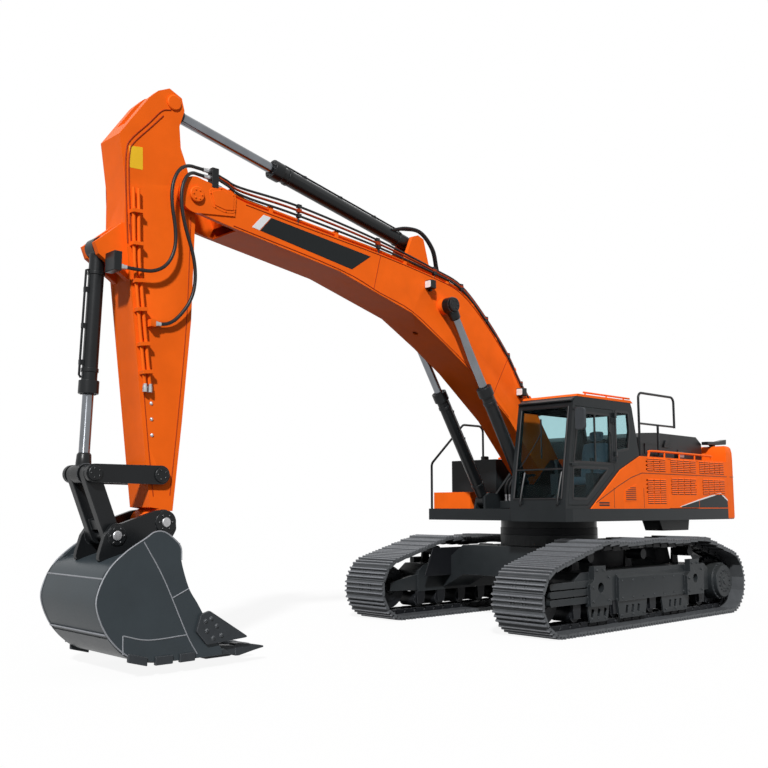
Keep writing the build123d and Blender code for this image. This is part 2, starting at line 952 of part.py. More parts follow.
with BuildPart() as cab_controls:
    for y in (seat_y + console_out, seat_y - console_out):
        with Locations((500, y, floor_z + 230)):
            Box(620, 130, 460)
        with Locations((740, y, floor_z + 540)):
            Cylinder(18, 180)
            with Locations((0, 0, 110)):
                Cylinder(30, 60)
    for y in (seat_y - 70, seat_y + 70):
        with BuildSketch(side(y + 35)):
            Polygon(
                (1180, floor_z),
                (1420, floor_z),
                (1420, floor_z + 40),
                (1230, floor_z + 160),
                (1200, floor_z + 150),
                align=None,
            )
        extrude(amount=70)
cab_controls.part.label = "cab_controls"
export_step(cab_controls.part, "parts/cab_controls.step")

# Boom and its cylinders
boom_top = [
    (6790, 5358),
    (6140, 5232),
    (5360, 5155),
    (3990, 5030),
    (2920, 4890),
    (2360, 4755),
    (1830, 4379),
    (1335, 3902),
    (1040, 3507),
    (610, 3080),
]
boom_low = [
    (1325, 2983),
    (2200, 3640),
    (2735, 3963),
    (3370, 4306),
    (3970, 4467),
    (4680, 4663),
    (6310, 4895),
]
boom_outline = boom_low + [(6830, 4982)] + boom_top + [(70, 2345), (440, 2070)]
boom_cavity = inset(boom_low + boom_top[1:], plate)
fork_gap = [(6230, 4700), (7200, 4700), (7200, 5600), (6330, 5600), (6330, 5250), (6230, 5000)]
with BuildPart() as boom:
    with BuildSketch(side(boom_half)):
        Polygon(*boom_outline, align=None)
        with Locations(boom_foot):
            Circle(225)
        with Locations(boom_tip):
            Circle(188)
    extrude(amount=2 * boom_half)
    with BuildSketch(side(boom_half - plate)):
        Polygon(*boom_cavity, align=None)
    extrude(amount=2 * (boom_half - plate), mode=Mode.SUBTRACT)
    with BuildSketch(side(fork_half)):
        Polygon(*fork_gap, align=None)
    extrude(amount=2 * fork_half, mode=Mode.SUBTRACT)
    with BuildSketch(side(boom_half + 5)):
        with Locations(boom_foot):
            Circle(80 + running)
    extrude(amount=2 * boom_half + 10, mode=Mode.SUBTRACT)
    with BuildSketch(side(boom_half + 30)):
        with Locations(boom_tip):
            Circle(75)
    extrude(amount=2 * boom_half + 60)
    # Bosses for the lift cylinders
    for near in (boom_half + 74, -boom_half):
        with BuildSketch(side(near)):
            with Locations(lift_pin):
                Circle(115)
        extrude(amount=74)
    # Bracket for the arm cylinder
    for near in (160, -100):
        with BuildSketch(side(near)):
            Polygon((2820, 4860), (3420, 4940), (3210, 5440), (3100, 5480), (2990, 5440), align=None)
        extrude(amount=60)
    with BuildSketch(side(160)):
        with Locations(arm_base):
            Circle(55)
    extrude(amount=320)
    with Locations((3000, 0, 4120)):
        Cylinder(40, 300, mode=Mode.SUBTRACT)
    # Port block on the nose, raised plates beside the nose and lamps on the left side
    with Locations((nose_port_x - 40, 270, 5425)):
        Box(80, 92, 230)
    for near in (boom_half + 14, -boom_half):
        with BuildSketch(side(near)):
            with Locations(boom_tip):
                Circle(210)
            Polygon((6830, 5380), (6300, 5290), (6300, 5030), (6830, 4960), align=None)
        extrude(amount=14)
    for x, z in ((3060, 4740), (1080, 3400)):
        with Locations((x, boom_half + 55, z)):
            Box(90, 110, 110)
boom.part.label = "boom"
export_step(boom.part, "parts/boom.step")


def ram_barrel(a, b, y, tube, length, eye, eye_half, pin, rod):
    """Cylinder barrel from its eye at a towards b: a closed end, a bored tube and a collar."""
    with BuildPart() as barrel:
        with BuildSketch(between(a, b, y, eye)):
            Circle(tube)
        extrude(amount=length - eye)
        with BuildSketch(between(a, b, y, eye * 0.6)):
            Circle(eye_half * 0.95)
        extrude(amount=eye * 0.6)
        with BuildSketch(between(a, b, y, length - 110)):
            Circle(tube + 14)
        extrude(amount=110)
        with BuildSketch(side(y + eye_half)):
            with Locations(a):
                Circle(eye)
        extrude(amount=2 * eye_half)
        with BuildSketch(between(a, b, y, eye + 30)):
            Circle(tube * 0.8)
        extrude(amount=length - eye - 110, mode=Mode.SUBTRACT)
        with BuildSketch(between(a, b, y, length - 100)):
            Circle(rod + running)
        extrude(amount=200, mode=Mode.SUBTRACT)
        with BuildSketch(side(y + eye_half + 200)):
            with Locations(a):
                Circle(pin + running)
        extrude(amount=2 * eye_half + 400, mode=Mode.SUBTRACT)
    return barrel.part


def ram_rod(a, b, y, rod, reach, eye, eye_half, cap):
    """Cylinder rod that ends in an eye at b and reaches back towards a."""
    whole = span(a, b)
    with BuildPart() as shaft:
        with BuildSketch(between(a, b, y, whole - reach)):
            Circle(rod)
        extrude(amount=reach - eye * 0.5)
        with BuildSketch(side(y + eye_half)):
            with Locations(b):
                Circle(eye)
        extrude(amount=2 * eye_half)
        if cap:
            high = y + eye_half + 30 if cap > 0 else y - eye_half
            with BuildSketch(side(high)):
                with Locations(b):
                    Circle(eye * 0.72)
            extrude(amount=30)
    return shaft.part


rams = {
    "lift_barrel_left": ram_barrel(lift_foot, lift_pin, lift_y, 88, 1880, 105, 58, 50, 60),
    "lift_barrel_right": ram_barrel(lift_foot, lift_pin, -lift_y, 88, 1880, 105, 58, 50, 60),
    "lift_rod_left": ram_rod(lift_foot, lift_pin, lift_y, 60, 2300, 110, 58, 1),
    "lift_rod_right": ram_rod(lift_foot, lift_pin, -lift_y, 60, 2300, 110, 58, -1),
    "arm_barrel": ram_barrel(arm_base, arm_pin, 0, 100, 2500, 125, 90, 55, 66),
    "arm_rod": ram_rod(arm_base, arm_pin, 0, 66, 2550, 130, 88, 0),
    "curl_barrel": ram_barrel(curl_base, link_pin, 0, 82, 1560, 110, 88, 45, 58),
    "curl_rod": ram_rod(curl_base, link_pin, 0, 58, 1700, 105, 80, 0),
}
for name, solid in rams.items():
    solid.label = name
    export_step(solid, "parts/" + name + ".step")

# Arm
arm_front = [
    (7233, 1676),
    (7344, 2476),
    (7560, 4180),
    (7640, 4700),
    (7650, 5122),
    (7740, 5672),
]
arm_rear = [
    (6985, 5700),
    (6915, 5537),
    (6800, 5200),
    (6772, 4924),
    (6791, 3741),
    (6873, 2614),
    (6960, 1635),
]
arm_outline = arm_front + [(7408, 6166), (7290, 6290), (7150, 6360), (6990, 6290), (6950, 6150), (7010, 5950)]
arm_outline = arm_outline + arm_rear
arm_cavity = inset(arm_front + [(7400, 5760)] + arm_rear[1:], 16)
curl_ear = [(7560, 4780), (7830, 4545), (7950, 4440), (7900, 4320), (7530, 4080), (7400, 4300)]
with BuildPart() as arm:
    with BuildSketch(side(arm_half)):
        Polygon(*arm_outline, align=None)
        with Locations(bucket_pin):
            Circle(148)
    extrude(amount=2 * arm_half)
    with BuildSketch(side(arm_half - 16)):
        Polygon(*arm_cavity, align=None)
    extrude(amount=2 * (arm_half - 16), mode=Mode.SUBTRACT)
    # Gap for the arm cylinder's rod eye
    with BuildSketch(side(96)):
        Polygon((6500, 5850), (7900, 5850), (7900, 6600), (6500, 6600), align=None)
    extrude(amount=192, mode=Mode.SUBTRACT)
    # Tubes for the pins
    with BuildSketch(side(fork_half - 6)):
        with Locations(boom_tip):
            Circle(150)
    extrude(amount=2 * (fork_half - 6))
    with BuildSketch(side(arm_half)):
        with Locations(guide_pin):
            Circle(95)
        with Locations(bucket_pin):
            Circle(110)
    extrude(amount=2 * arm_half)
    with BuildSketch(side(arm_half + 70)):
        with Locations(guide_pin):
            Circle(50)
    extrude(amount=2 * (arm_half + 70))
    for pin, radius in ((boom_tip, 75), (bucket_pin, 55)):
        with BuildSketch(side(arm_half + 100)):
            with Locations(pin):
                Circle(radius + running)
        extrude(amount=2 * (arm_half + 100), mode=Mode.SUBTRACT)
    # Ears for the bucket cylinder
    for near in (165, -95):
        with BuildSketch(side(near)):
            Polygon(*curl_ear, align=None)
        extrude(amount=70)
    with BuildSketch(side(165)):
        with Locations(curl_base):
            Circle(45)
    extrude(amount=330)
    with Locations((6830, 0, 3200)):
        Cylinder(40, 300, rotation=(0, 90, 0), mode=Mode.SUBTRACT)
    # Ports for the hoses
    with Locations((curl_port_x + 40, 262, 4230)):
        Box(80, 195, 200)
    with Locations((arm_port_x + 30, arm_half + 45, 3640)):
        Box(60, 90, 80)
arm.part.label = "arm"
export_step(arm.part, "parts/arm.step")

# Pipes along the boom and the arm, with their clamps
pipe_ys = (185, 225, 265)
raised = inset(boom_outline, -pipe_rise)
top_at = len(boom_low) + 1
boom_run = raised[top_at : top_at + len(boom_top)]
share = (boom_run[0][0] - nose_port_x + 84) / (boom_run[0][0] - boom_run[1][0])
boom_run[0] = (nose_port_x - 84, boom_run[0][1] + share * (boom_run[1][1] - boom_run[0][1]))
with BuildPart() as boom_pipes:
    for y in pipe_ys:
        with BuildLine():
            FilletPolyline(*[(x, y, z) for x, z in boom_run], radius=200)
        with BuildSketch(between(boom_run[0], boom_run[1], y, 0)):
            Circle(pipe_r)
        sweep()
    for a, b in zip(boom_run, boom_run[1:]):
        with BuildSketch(between(a, b, pipe_ys[1], span(a, b) * 0.45)):
            Rectangle(pipe_ys[-1] - pipe_ys[0] + 45, 2 * pipe_rise)
        extrude(amount=50)
boom_pipes.part.label = "boom_pipes"
export_step(boom_pipes.part, "parts/boom_pipes.step")

arm_run = [(7550, 5090), (7510, 4300), (7425, 3620), (7335, 2960)]
with BuildPart() as arm_pipes:
    for shift in (-30, 30):
        points = [(x + shift, arm_half + pipe_rise, z) for x, z in arm_run]
        with BuildLine():
            FilletPolyline(*points, radius=300)
        start = [(x + shift, z) for x, z in arm_run[:2]]
        with BuildSketch(between(start[0], start[1], arm_half + pipe_rise, 0)):
            Circle(pipe_r)
        sweep()
    for a, b in zip(arm_run, arm_run[1:]):
        for share in (0.3, 0.75):
            with BuildSketch(between(a, b, arm_half + pipe_rise, span(a, b) * share)):
                Rectangle(2 * pipe_rise, 120)
            extrude(amount=40)
arm_pipes.part.label = "arm_pipes"
export_step(arm_pipes.part, "parts/arm_pipes.step")

# Hoses from the boom's ports to the arm's ports, as points of their routes
hose_routes = {
    "hose_long": [
        (nose_port_x, 250, 5510),
        (6765, 250, 5510),
        (6935, 285, 5500),
        (7085, 335, 5390),
        (7165, 352, 5190),
        (7158, 352, 4960),
        (7100, 345, 4730),
        (7085, 335, 4500),
        (7165, 325, 4300),
        (7330, 325, 4190),
        (7540, 325, 4180),
        (curl_port_x, 325, 4180),
    ],
    "hose_short": [
        (nose_port_x, 265, 5428),
        (6755, 265, 5428),
        (6895, 312, 5420),
        (7005, 348, 5315),
        (7052, 356, 5130),
        (7030, 354, 4920),
        (6960, 345, 4700),
        (6870, 335, 4500),
        (6815, 320, 4290),
        (6815, 308, 4090),
        (6865, 298, 3930),
        (6950, 287, 3800),
        (7050, 273, 3690),
        (7160, 262, 3640),
        (arm_port_x, 262, 3640),
    ],
}


def bend_radii(points):
    """Largest arc at each inner point of a route that leaves a tenth of the shorter run straight."""
    radii = []
    for a, b, c in zip(points, points[1:], points[2:]):
        first = Vector(*b) - Vector(*a)
        second = Vector(*c) - Vector(*b)
        half = math.radians(first.get_angle(second)) / 2
        radii.append(0.45 * min(first.length, second.length) / math.tan(half))
    return radii


for name, points in hose_routes.items():
    radii = bend_radii(points)
    print(name, "bend radii", [round(r) for r in radii])
    with BuildPart() as hose:
        with BuildLine():
            route = FilletPolyline(*points, radius=radii)
        with BuildSketch(Plane(origin=points[0], z_dir=Vector(*points[1]) - Vector(*points[0]))):
            Circle(hose_r)
        sweep()
    full = math.pi * hose_r**2 * route.length
    print(name, "length", round(route.length), "volume share", round(hose.part.volume / full, 3))
    hose.part.label = name
    export_step(hose.part, "parts/" + name + ".step")

# Links between the arm, the bucket cylinder and the bucket
with BuildPart() as guide_link:
    for near, inner in ((272, 96), (-222, -272)):
        with BuildSketch(side(near)):
            Polygon(*strap(guide_pin, link_pin, 100, 95), align=None)
            with Locations(guide_pin):
                Circle(100)
            with Locations(link_pin):
                Circle(95)
            with Locations(guide_pin):
                Circle(50 + running, mode=Mode.SUBTRACT)
        extrude(amount=50)
    for near in (272, -96):
        with BuildSketch(side(near)):
            with Locations(link_pin):
                Circle(45)
        extrude(amount=176)
guide_link.part.label = "guide_link"
export_step(guide_link.part, "parts/guide_link.step")

link_way = span(link_pin, bucket_link_pin)
with BuildPart() as push_link:
    for near in (200, -100):
        with BuildSketch(side(near)):
            Polygon(*strap(link_pin, bucket_link_pin, 90, 90), align=None)
            with Locations(link_pin, bucket_link_pin):
                Circle(90)
            with Locations(link_pin):
                Circle(45 + running, mode=Mode.SUBTRACT)
        extrude(amount=100)
    with BuildSketch(between(link_pin, bucket_link_pin, 0, link_way - 190)):
        Rectangle(220, 110)
    extrude(amount=110)
push_link.part.label = "push_link"
export_step(push_link.part, "parts/push_link.step")

# Bucket
bucket_back = [
    (6560, 130),
    (7200, 130),
    (7480, 170),
    (7690, 250),
    (7890, 450),
    (8005, 700),
    (7990, 880),
    (7880, 1085),
    (7599, 1198),
    (7100, 1312),
]
bucket_mouth = [(7075, 1020), (6986, 858), (6795, 560), (6560, 185)]
shell_in = inset(bucket_back + [(6400, 1330), (6400, 130)], 40)
ear_plate = [
    (7020, 1310),
    (7599, 1182),
    (7860, 1100),
    (7760, 1390),
    (7690, 1490),
    (7590, 1490),
    (7200, 1640),
    (7081, 1650),
    (6960, 1570),
    (6945, 1460),
]
with BuildPart() as bucket:
    with BuildSketch(side(bucket_half)):
        Polygon(*(bucket_back + bucket_mouth), align=None)
    extrude(amount=2 * bucket_half)
    with BuildSketch(side(bucket_half - 40)):
        Polygon(*shell_in, align=None)
    extrude(amount=2 * (bucket_half - 40), mode=Mode.SUBTRACT)
    for near in (ear_out, -ear_in):
        with BuildSketch(side(near)):
            Polygon(*ear_plate, align=None)
        extrude(amount=ear_out - ear_in)
    # Side cutters beside the lip
    for near in (bucket_half + 34, -bucket_half):
        with BuildSketch(side(near)):
            Polygon((6850, 570), (6900, 400), (6770, 255), (6240, 290), (6740, 600), align=None)
        extrude(amount=34)
    with BuildSketch(side(ear_out + 20)):
        with Locations(bucket_pin):
            Circle(55)
    extrude(amount=2 * (ear_out + 20))
bucket.part.label = "bucket"
export_step(bucket.part, "parts/bucket.step")

with BuildPart() as bucket_teeth:
    for y in (-500, -250, 0, 250, 500):
        with BuildSketch(side(y + 60)):
            Polygon(
                (6720, 90),
                (6720, 215),
                (6400, 235),
                (5960, 165),
                (5960, 140),
                (6400, 85),
                align=None,
            )
            Polygon((6560, 130), (6800, 130), (6800, 170), (6560, 170), align=None, mode=Mode.SUBTRACT)
        extrude(amount=120)
bucket_teeth.part.label = "bucket_teeth"
export_step(bucket_teeth.part, "parts/bucket_teeth.step")
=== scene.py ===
"""Dressed looks of a crawler excavator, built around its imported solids.

Sizes are in millimetres in the same frame as the solids: X forward, Y left, Z up.
"""

from __future__ import annotations

import logging
import math
from dataclasses import dataclass
from enum import Enum
from typing import Any, Iterable, Sequence

import bmesh
import bpy
from mathutils import Matrix, Vector

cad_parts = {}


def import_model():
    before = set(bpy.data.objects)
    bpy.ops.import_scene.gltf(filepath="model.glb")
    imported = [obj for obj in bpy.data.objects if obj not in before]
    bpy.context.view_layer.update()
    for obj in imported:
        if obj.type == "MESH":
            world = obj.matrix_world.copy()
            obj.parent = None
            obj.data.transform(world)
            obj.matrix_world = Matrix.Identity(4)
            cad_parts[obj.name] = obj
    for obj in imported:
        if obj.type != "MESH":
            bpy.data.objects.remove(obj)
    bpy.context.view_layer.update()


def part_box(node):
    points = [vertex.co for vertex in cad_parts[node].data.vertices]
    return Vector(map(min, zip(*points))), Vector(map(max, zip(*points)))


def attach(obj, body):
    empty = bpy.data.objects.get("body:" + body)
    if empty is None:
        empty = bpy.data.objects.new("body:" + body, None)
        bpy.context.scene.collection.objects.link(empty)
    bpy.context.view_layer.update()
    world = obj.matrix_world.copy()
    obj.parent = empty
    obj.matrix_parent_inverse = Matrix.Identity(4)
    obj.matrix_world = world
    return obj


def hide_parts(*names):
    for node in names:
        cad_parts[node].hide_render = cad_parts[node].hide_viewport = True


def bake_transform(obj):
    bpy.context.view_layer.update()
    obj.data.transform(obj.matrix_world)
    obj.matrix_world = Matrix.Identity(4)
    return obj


MM = 0.001
SHARP = math.radians(32)
SIDES = (("left", 1), ("right", -1))
LOG = logging.getLogger("excavator")
Flat = tuple[float, float]
Spot = tuple[float, float, float]
Color = tuple[float, float, float]
Outline = tuple[Flat, ...]


class Face(Enum):
    """Plane that an outline is drawn on, and so the axis it is swept along."""

    SIDE = "side"
    FRONT = "front"

    def place(self, u: float, v: float, depth: float) -> Vector:
        """Point at outline place u, v and at a depth along the sweep."""
        return Vector((u, depth, v)) if self is Face.SIDE else Vector((depth, u, v))


class Layout(Enum):
    """How a pattern sets out its copies."""

    PATH = "path"
    SPOTS = "spots"


@dataclass(frozen=True)
class Finish:
    """One surface finish and the record's slot it belongs to.

    Attributes:
        name: the material's name.
        slot: the record's slot; not used.
        color: base colour.
        rough: middle roughness.
        metal: share of bare metal.
        mottle: how far the colour swings about its middle.
        grain: scale of the broad noise per metre.
        bump: strength of the fine relief.
        gloss: level of the surface reflection.
        dust: share of dust on faces that look up.
        wear: share of bare metal on edges.
        worn: colour of that metal.
        tips: shows the wear attribute as bright worn metal, partly a painted highlight on the ridge tips.
        clear: share of light let through.
        ior: index of refraction.
    """

    name: str
    slot: str
    color: Color
    rough: float
    metal: float = 0.0
    mottle: float = 0.1
    grain: float = 3.0
    bump: float = 0.08
    gloss: float = 0.5
    dust: float = 0.0
    wear: float = 0.0
    worn: Color = (0.3, 0.31, 0.33)
    tips: bool = False
    clear: float = 0.0
    ior: float = 1.5


ORANGE = Finish(
    "orange_enamel", "orange_paint", (0.87, 0.13, 0.009), 0.38, mottle=0.06, bump=0.03, gloss=0.05, dust=0.03
)
CHARCOAL = Finish("charcoal_enamel", "dark_paint", (0.013, 0.0155, 0.017), 0.36, gloss=0.14, dust=0.02)
BLACK = Finish("black_enamel", "black_paint", (0.008, 0.009, 0.01), 0.33, gloss=0.22, wear=0.2)
FRAME = Finish(
    "frame_enamel", "frame_paint", (0.017, 0.02, 0.022), 0.42, grain=5, gloss=0.2, dust=0.05, wear=0.35
)
TRACK = Finish(
    "track_plate", "track_steel", (0.085, 0.09, 0.096), 0.42, metal=0.2, grain=6, bump=0.2, gloss=0.15,
    worn=(0.24, 0.25, 0.27), tips=True,
)
WHEEL = Finish(
    "wheel_steel", "track_steel", (0.009, 0.01, 0.012), 0.45, metal=0.1, grain=6, bump=0.15, gloss=0.15,
    wear=0.4,
)
ENGINE = Finish("engine_casting", "engine_metal", (0.2, 0.2, 0.21), 0.55, metal=0.6, grain=9, bump=0.3)
GLASS = Finish("tinted_glass", "cab_glass", (0.6, 0.77, 0.79), 0.0, mottle=0.01, bump=0.0, clear=1.0, ior=1.1)
FABRIC = Finish("seat_cloth", "seat_fabric", (0.1, 0.14, 0.18), 0.85, grain=40, bump=0.5, gloss=0.2)
PLASTIC = Finish(
    "moulded_plastic", "trim_plastic", (0.035, 0.04, 0.045), 0.55, grain=30, bump=0.15, gloss=0.2
)
MIRROR = Finish("mirror_face", "trim_plastic", (0.75, 0.77, 0.79), 0.06, metal=1.0, mottle=0.02, bump=0.0)
LENS = Finish("lamp_lens", "trim_plastic", (0.72, 0.75, 0.76), 0.15, mottle=0.08, grain=40, bump=0.1)
CHROME = Finish("rod_plating", "rod_chrome", (0.19, 0.2, 0.215), 0.2, metal=1.0, grain=5, bump=0.01)
SILVER = Finish("zinc_fitting", "rod_chrome", (0.42, 0.42, 0.43), 0.38, metal=0.9, grain=20)
BUCKET = Finish(
    "bucket_plate", "bucket_steel", (0.031, 0.04, 0.046), 0.38, grain=2.5, gloss=0.22, wear=0.8,
    worn=(0.25, 0.26, 0.28),
)
# Bright weld colour: weld metal with a painted highlight.
WELD = Finish("weld_bead_and_highlight", "bucket_steel", (0.24, 0.25, 0.27), 0.5, metal=0.3, grain=60, bump=0.4)
TOOTH = Finish(
    "tooth_casting", "tooth_steel", (0.03, 0.034, 0.038), 0.44, metal=0.1, grain=9, bump=0.25, gloss=0.2,
    wear=0.9,
)
RUBBER = Finish("hose_cover", "hose_rubber", (0.007, 0.007, 0.008), 0.42, grain=30, bump=0.1, gloss=0.3)
YELLOW = Finish("plate_yellow", "orange_paint", (0.85, 0.5, 0.02), 0.4, mottle=0.05, gloss=0.2)
PALE = Finish("plate_edge", "orange_paint", (0.72, 0.73, 0.74), 0.4, mottle=0.05, gloss=0.3)
# Dark plates, and the dark strips of painted shade in slots, seam gaps and the groove.
DARK_PLATE_AND_PAINTED_SHADE = Finish("plate_dark_and_painted_shade", "black_paint", (0.007, 0.009, 0.01), 0.35, mottle=0.05, bump=0.02, gloss=0.15)
# Darker copy of the orange enamel, a painted shade, for weld beads and one boom line.
ORANGE_PAINTED_SHADE = Finish(
    "orange_painted_shade", "orange_paint", (0.34, 0.035, 0.005), 0.45, mottle=0.12, grain=30, bump=0.2, gloss=0.1
)


class Nodes:
    """A node tree whose nodes all come from one method."""

    def __init__(self, tree: bpy.types.NodeTree) -> None:
        """Takes a tree and empties it."""
        self.tree = tree
        tree.nodes.clear()

    def node(self, kind: str, settings: dict | None = None, inputs: dict | None = None) -> bpy.types.Node:
        """Adds one node.

        Args:
            kind: the node's type.
            settings: properties that are set first.
            inputs: numbers, links or arithmetic values by socket name or number.

        Returns:
            The new node.
        """
        node = self.tree.nodes.new(kind)
        for key, value in (settings or {}).items():
            setattr(node, key, value)
        for key, value in (inputs or {}).items():
            source = value.socket if isinstance(value, Value) else value
            if isinstance(source, bpy.types.NodeSocket):
                self.tree.links.new(source, node.inputs[key])
            else:
                node.inputs[key].default_value = source
        return node


class Value:
    """A number in a shader tree that takes part in plain arithmetic."""

    def __init__(self, nodes: Nodes, socket: bpy.types.NodeSocket) -> None:
        """Keeps the socket and the tree it is in."""
        self.nodes = nodes
        self.socket = socket

    def _join(self, operation: str, first: Any, second: Any) -> "Value":
        """Result of a Math node on two numbers."""
        node = self.nodes.node("ShaderNodeMath", {"operation": operation}, {0: first, 1: second})
        return Value(self.nodes, node.outputs[0])

    def __add__(self, other: Any) -> "Value":
        """Sum."""
        return self._join("ADD", self, other)

    def __radd__(self, other: Any) -> "Value":
        """Sum with the number on the left."""
        return self._join("ADD", other, self)

    def __sub__(self, other: Any) -> "Value":
        """Difference."""
        return self._join("SUBTRACT", self, other)

    def __rsub__(self, other: Any) -> "Value":
        """Difference with the number on the left."""
        return self._join("SUBTRACT", other, self)

    def __mul__(self, other: Any) -> "Value":
        """Product."""
        return self._join("MULTIPLY", self, other)

    def __rmul__(self, other: Any) -> "Value":
        """Product with the number on the left."""
        return self._join("MULTIPLY", other, self)

    def larger(self, other: Any) -> "Value":
        """The larger of two numbers."""
        return self._join("MAXIMUM", self, other)

    def step(self, low: float, high: float) -> "Value":
        """Rises from 0 at low to 1 at high and is held there."""
        ends = {"Value": self, "From Min": low, "From Max": high}
        return Value(self.nodes, self.nodes.node("ShaderNodeMapRange", {"clamp": True}, ends).outputs[0])


class Paint(Nodes):
    """Turns a finish into a procedural material."""

    made: dict[str, bpy.types.Material] = {}
    dust_color: Color = (0.3, 0.26, 0.2)
    fine_ratio: float = 16
    edge_reach: float = 0.009
    relief: float = 0.004
    most_swing: float = 0.14

    def __init__(self, finish: Finish) -> None:
        """Starts an empty material.

        Args:
            finish: the finish it shows.
        """
        self.finish = finish
        self.material = bpy.data.materials.new(finish.name)
        self.material.use_nodes = True
        super().__init__(self.material.node_tree)

    @classmethod
    def of(cls, finish: Finish) -> bpy.types.Material:
        """Material of a finish, made once."""
        if finish.name not in cls.made:
            cls.made[finish.name] = cls(finish).coat()
        return cls.made[finish.name]

    def noise(self, place: bpy.types.NodeSocket, scale: float, detail: float) -> Value:
        """Soft noise on Object coordinates at a scale per metre."""
        inputs = {"Vector": place, "Scale": scale, "Detail": detail, "Roughness": 0.55}
        return Value(self, self.node("ShaderNodeTexNoise", None, inputs).outputs[0])

    def mix(self, share: Value, first: Any, second: Any) -> bpy.types.NodeSocket:
        """Colour between two colours."""
        return self.node("ShaderNodeMix", {"data_type": "RGBA"}, {0: share, 6: first, 7: second}).outputs[2]

    def edges(self, fine: Value) -> Value:
        """Mask of worn edges.

        Args:
            fine: noise that breaks the edges up.

        Returns:
            The share of bare metal.
        """
        eased = self.node("ShaderNodeBevel", {"samples": 4}, {"Radius": self.edge_reach}).outputs[0]
        plain = self.node("ShaderNodeNewGeometry").outputs["Normal"]
        both = {0: eased, 1: plain}
        alike = self.node("ShaderNodeVectorMath", {"operation": "DOT_PRODUCT"}, both).outputs["Value"]
        turned = 1.0 - Value(self, alike)
        return turned.step(0.02, 0.16) * fine.step(0.4, 0.62) * self.finish.wear

    def coat(self) -> bpy.types.Material:
        """Builds the material's nodes.

        Returns:
            The finished material.
        """
        finish = self.finish
        place = self.node("ShaderNodeTexCoord").outputs["Object"]
        broad = self.noise(place, finish.grain, 4.0)
        fine = self.noise(place, finish.grain * self.fine_ratio, 3.0)
        dark = tuple(c * (1 - finish.mottle) for c in finish.color) + (1.0,)
        light = tuple(min(1.0, c * (1 + finish.mottle)) for c in finish.color) + (1.0,)
        color = self.mix(broad.step(0.3, 0.7), dark, light)
        swing = min(self.most_swing, finish.rough * 0.3)
        rough = finish.rough + (fine - 0.5) * swing + (broad - 0.5) * swing
        if finish.dust:
            normal = self.node("ShaderNodeNewGeometry").outputs["Normal"]
            up = Value(self, self.node("ShaderNodeSeparateXYZ", None, {0: normal}).outputs[2])
            film = up.step(0.2, 0.95) * broad.step(0.35, 0.75) * finish.dust
            color = self.mix(film, color, self.dust_color + (1.0,))
            rough = rough + film * 0.5
        if finish.wear:
            color = self.mix(self.edges(fine), color, finish.worn + (1.0,))
        # Ridge tips made lighter: worn steel and a painted highlight.
        if finish.tips:
            tip = Value(self, self.node("ShaderNodeAttribute", {"attribute_name": "wear"}).outputs["Fac"])
            tip_wear_and_highlight = tip.step(0.55, 1.0) * fine.step(0.25, 0.6)
            color = self.mix(tip_wear_and_highlight * 0.85, color, finish.worn + (1.0,))
            rough = rough - tip_wear_and_highlight * 0.12
        surface = {
            "Base Color": color,
            "Metallic": finish.metal,
            "Roughness": rough,
            "Specular IOR Level": finish.gloss,
            "Transmission Weight": finish.clear,
            "IOR": finish.ior,
        }
        if finish.bump:
            lift = {"Strength": finish.bump, "Distance": self.relief, "Height": fine}
            surface["Normal"] = self.node("ShaderNodeBump", None, lift).outputs[0]
        shader = self.node("ShaderNodeBsdfPrincipled", None, surface)
        self.node("ShaderNodeOutputMaterial", None, {0: shader.outputs[0]})
        return self.material


def inset(points: Sequence[Flat], depth: float) -> list[Flat]:
    """Outline moved inward by a depth; the points run anticlockwise.

    Args:
        points: outline points.
        depth: distance inward, or outward where negative.

    Returns:
        The moved outline.
    """
    moved = []
    for i in range(len(points)):
        a = Vector(points[i - 1])
        b = Vector(points[i])
        c = Vector(points[(i + 1) % len(points)])
        first = (b - a).normalized()
        second = (c - b).normalized()
        n1 = Vector((-first.y, first.x))
        n2 = Vector((-second.y, second.x))
        spot = b + (n1 + n2) * (depth / max(0.2, 1 + n1.dot(n2)))
        moved.append((spot.x, spot.y))
    return moved


def smooth(points: Sequence[Sequence[float]], steps: int) -> list[Vector]:
    """Smooth open curve through points.

    Args:
        points: points in two or three dimensions.
        steps: spans between neighbouring points.

    Returns:
        The points of the curve.
    """
    knots = [Vector(p) for p in points]
    curve = []
    for i in range(len(knots) - 1):
        p1 = knots[i]
        p2 = knots[i + 1]
        p0 = knots[i - 1] if i else p1 * 2 - p2
        p3 = knots[i + 2] if i + 2 < len(knots) else p2 * 2 - p1
        for k in range(steps):
            t = k / steps
            bend = (p0 * 2 - p1 * 5 + p2 * 4 - p3) * t * t + (p1 * 3 - p0 - p2 * 3 + p3) * t ** 3
            curve.append((p1 * 2 + (p2 - p0) * t + bend) * 0.5)
    return curve + [knots[-1]]


def bent(points: Sequence[Flat], steps: int) -> list[Flat]:
    """Smooth open curve through flat points, as pairs."""
    return [(p.x, p.y) for p in smooth(points, steps)]


def at_y(points: Iterable[Flat], y: float) -> list[Spot]:
    """Points given as X and Z, set at one Y."""
    return [(x, y, z) for x, z in points]


def oblong(left: float, low: float, right: float, high: float) -> list[Flat]:
    """Corners of an upright rectangle, anticlockwise."""
    return [(left, low), (right, low), (right, high), (left, high)]


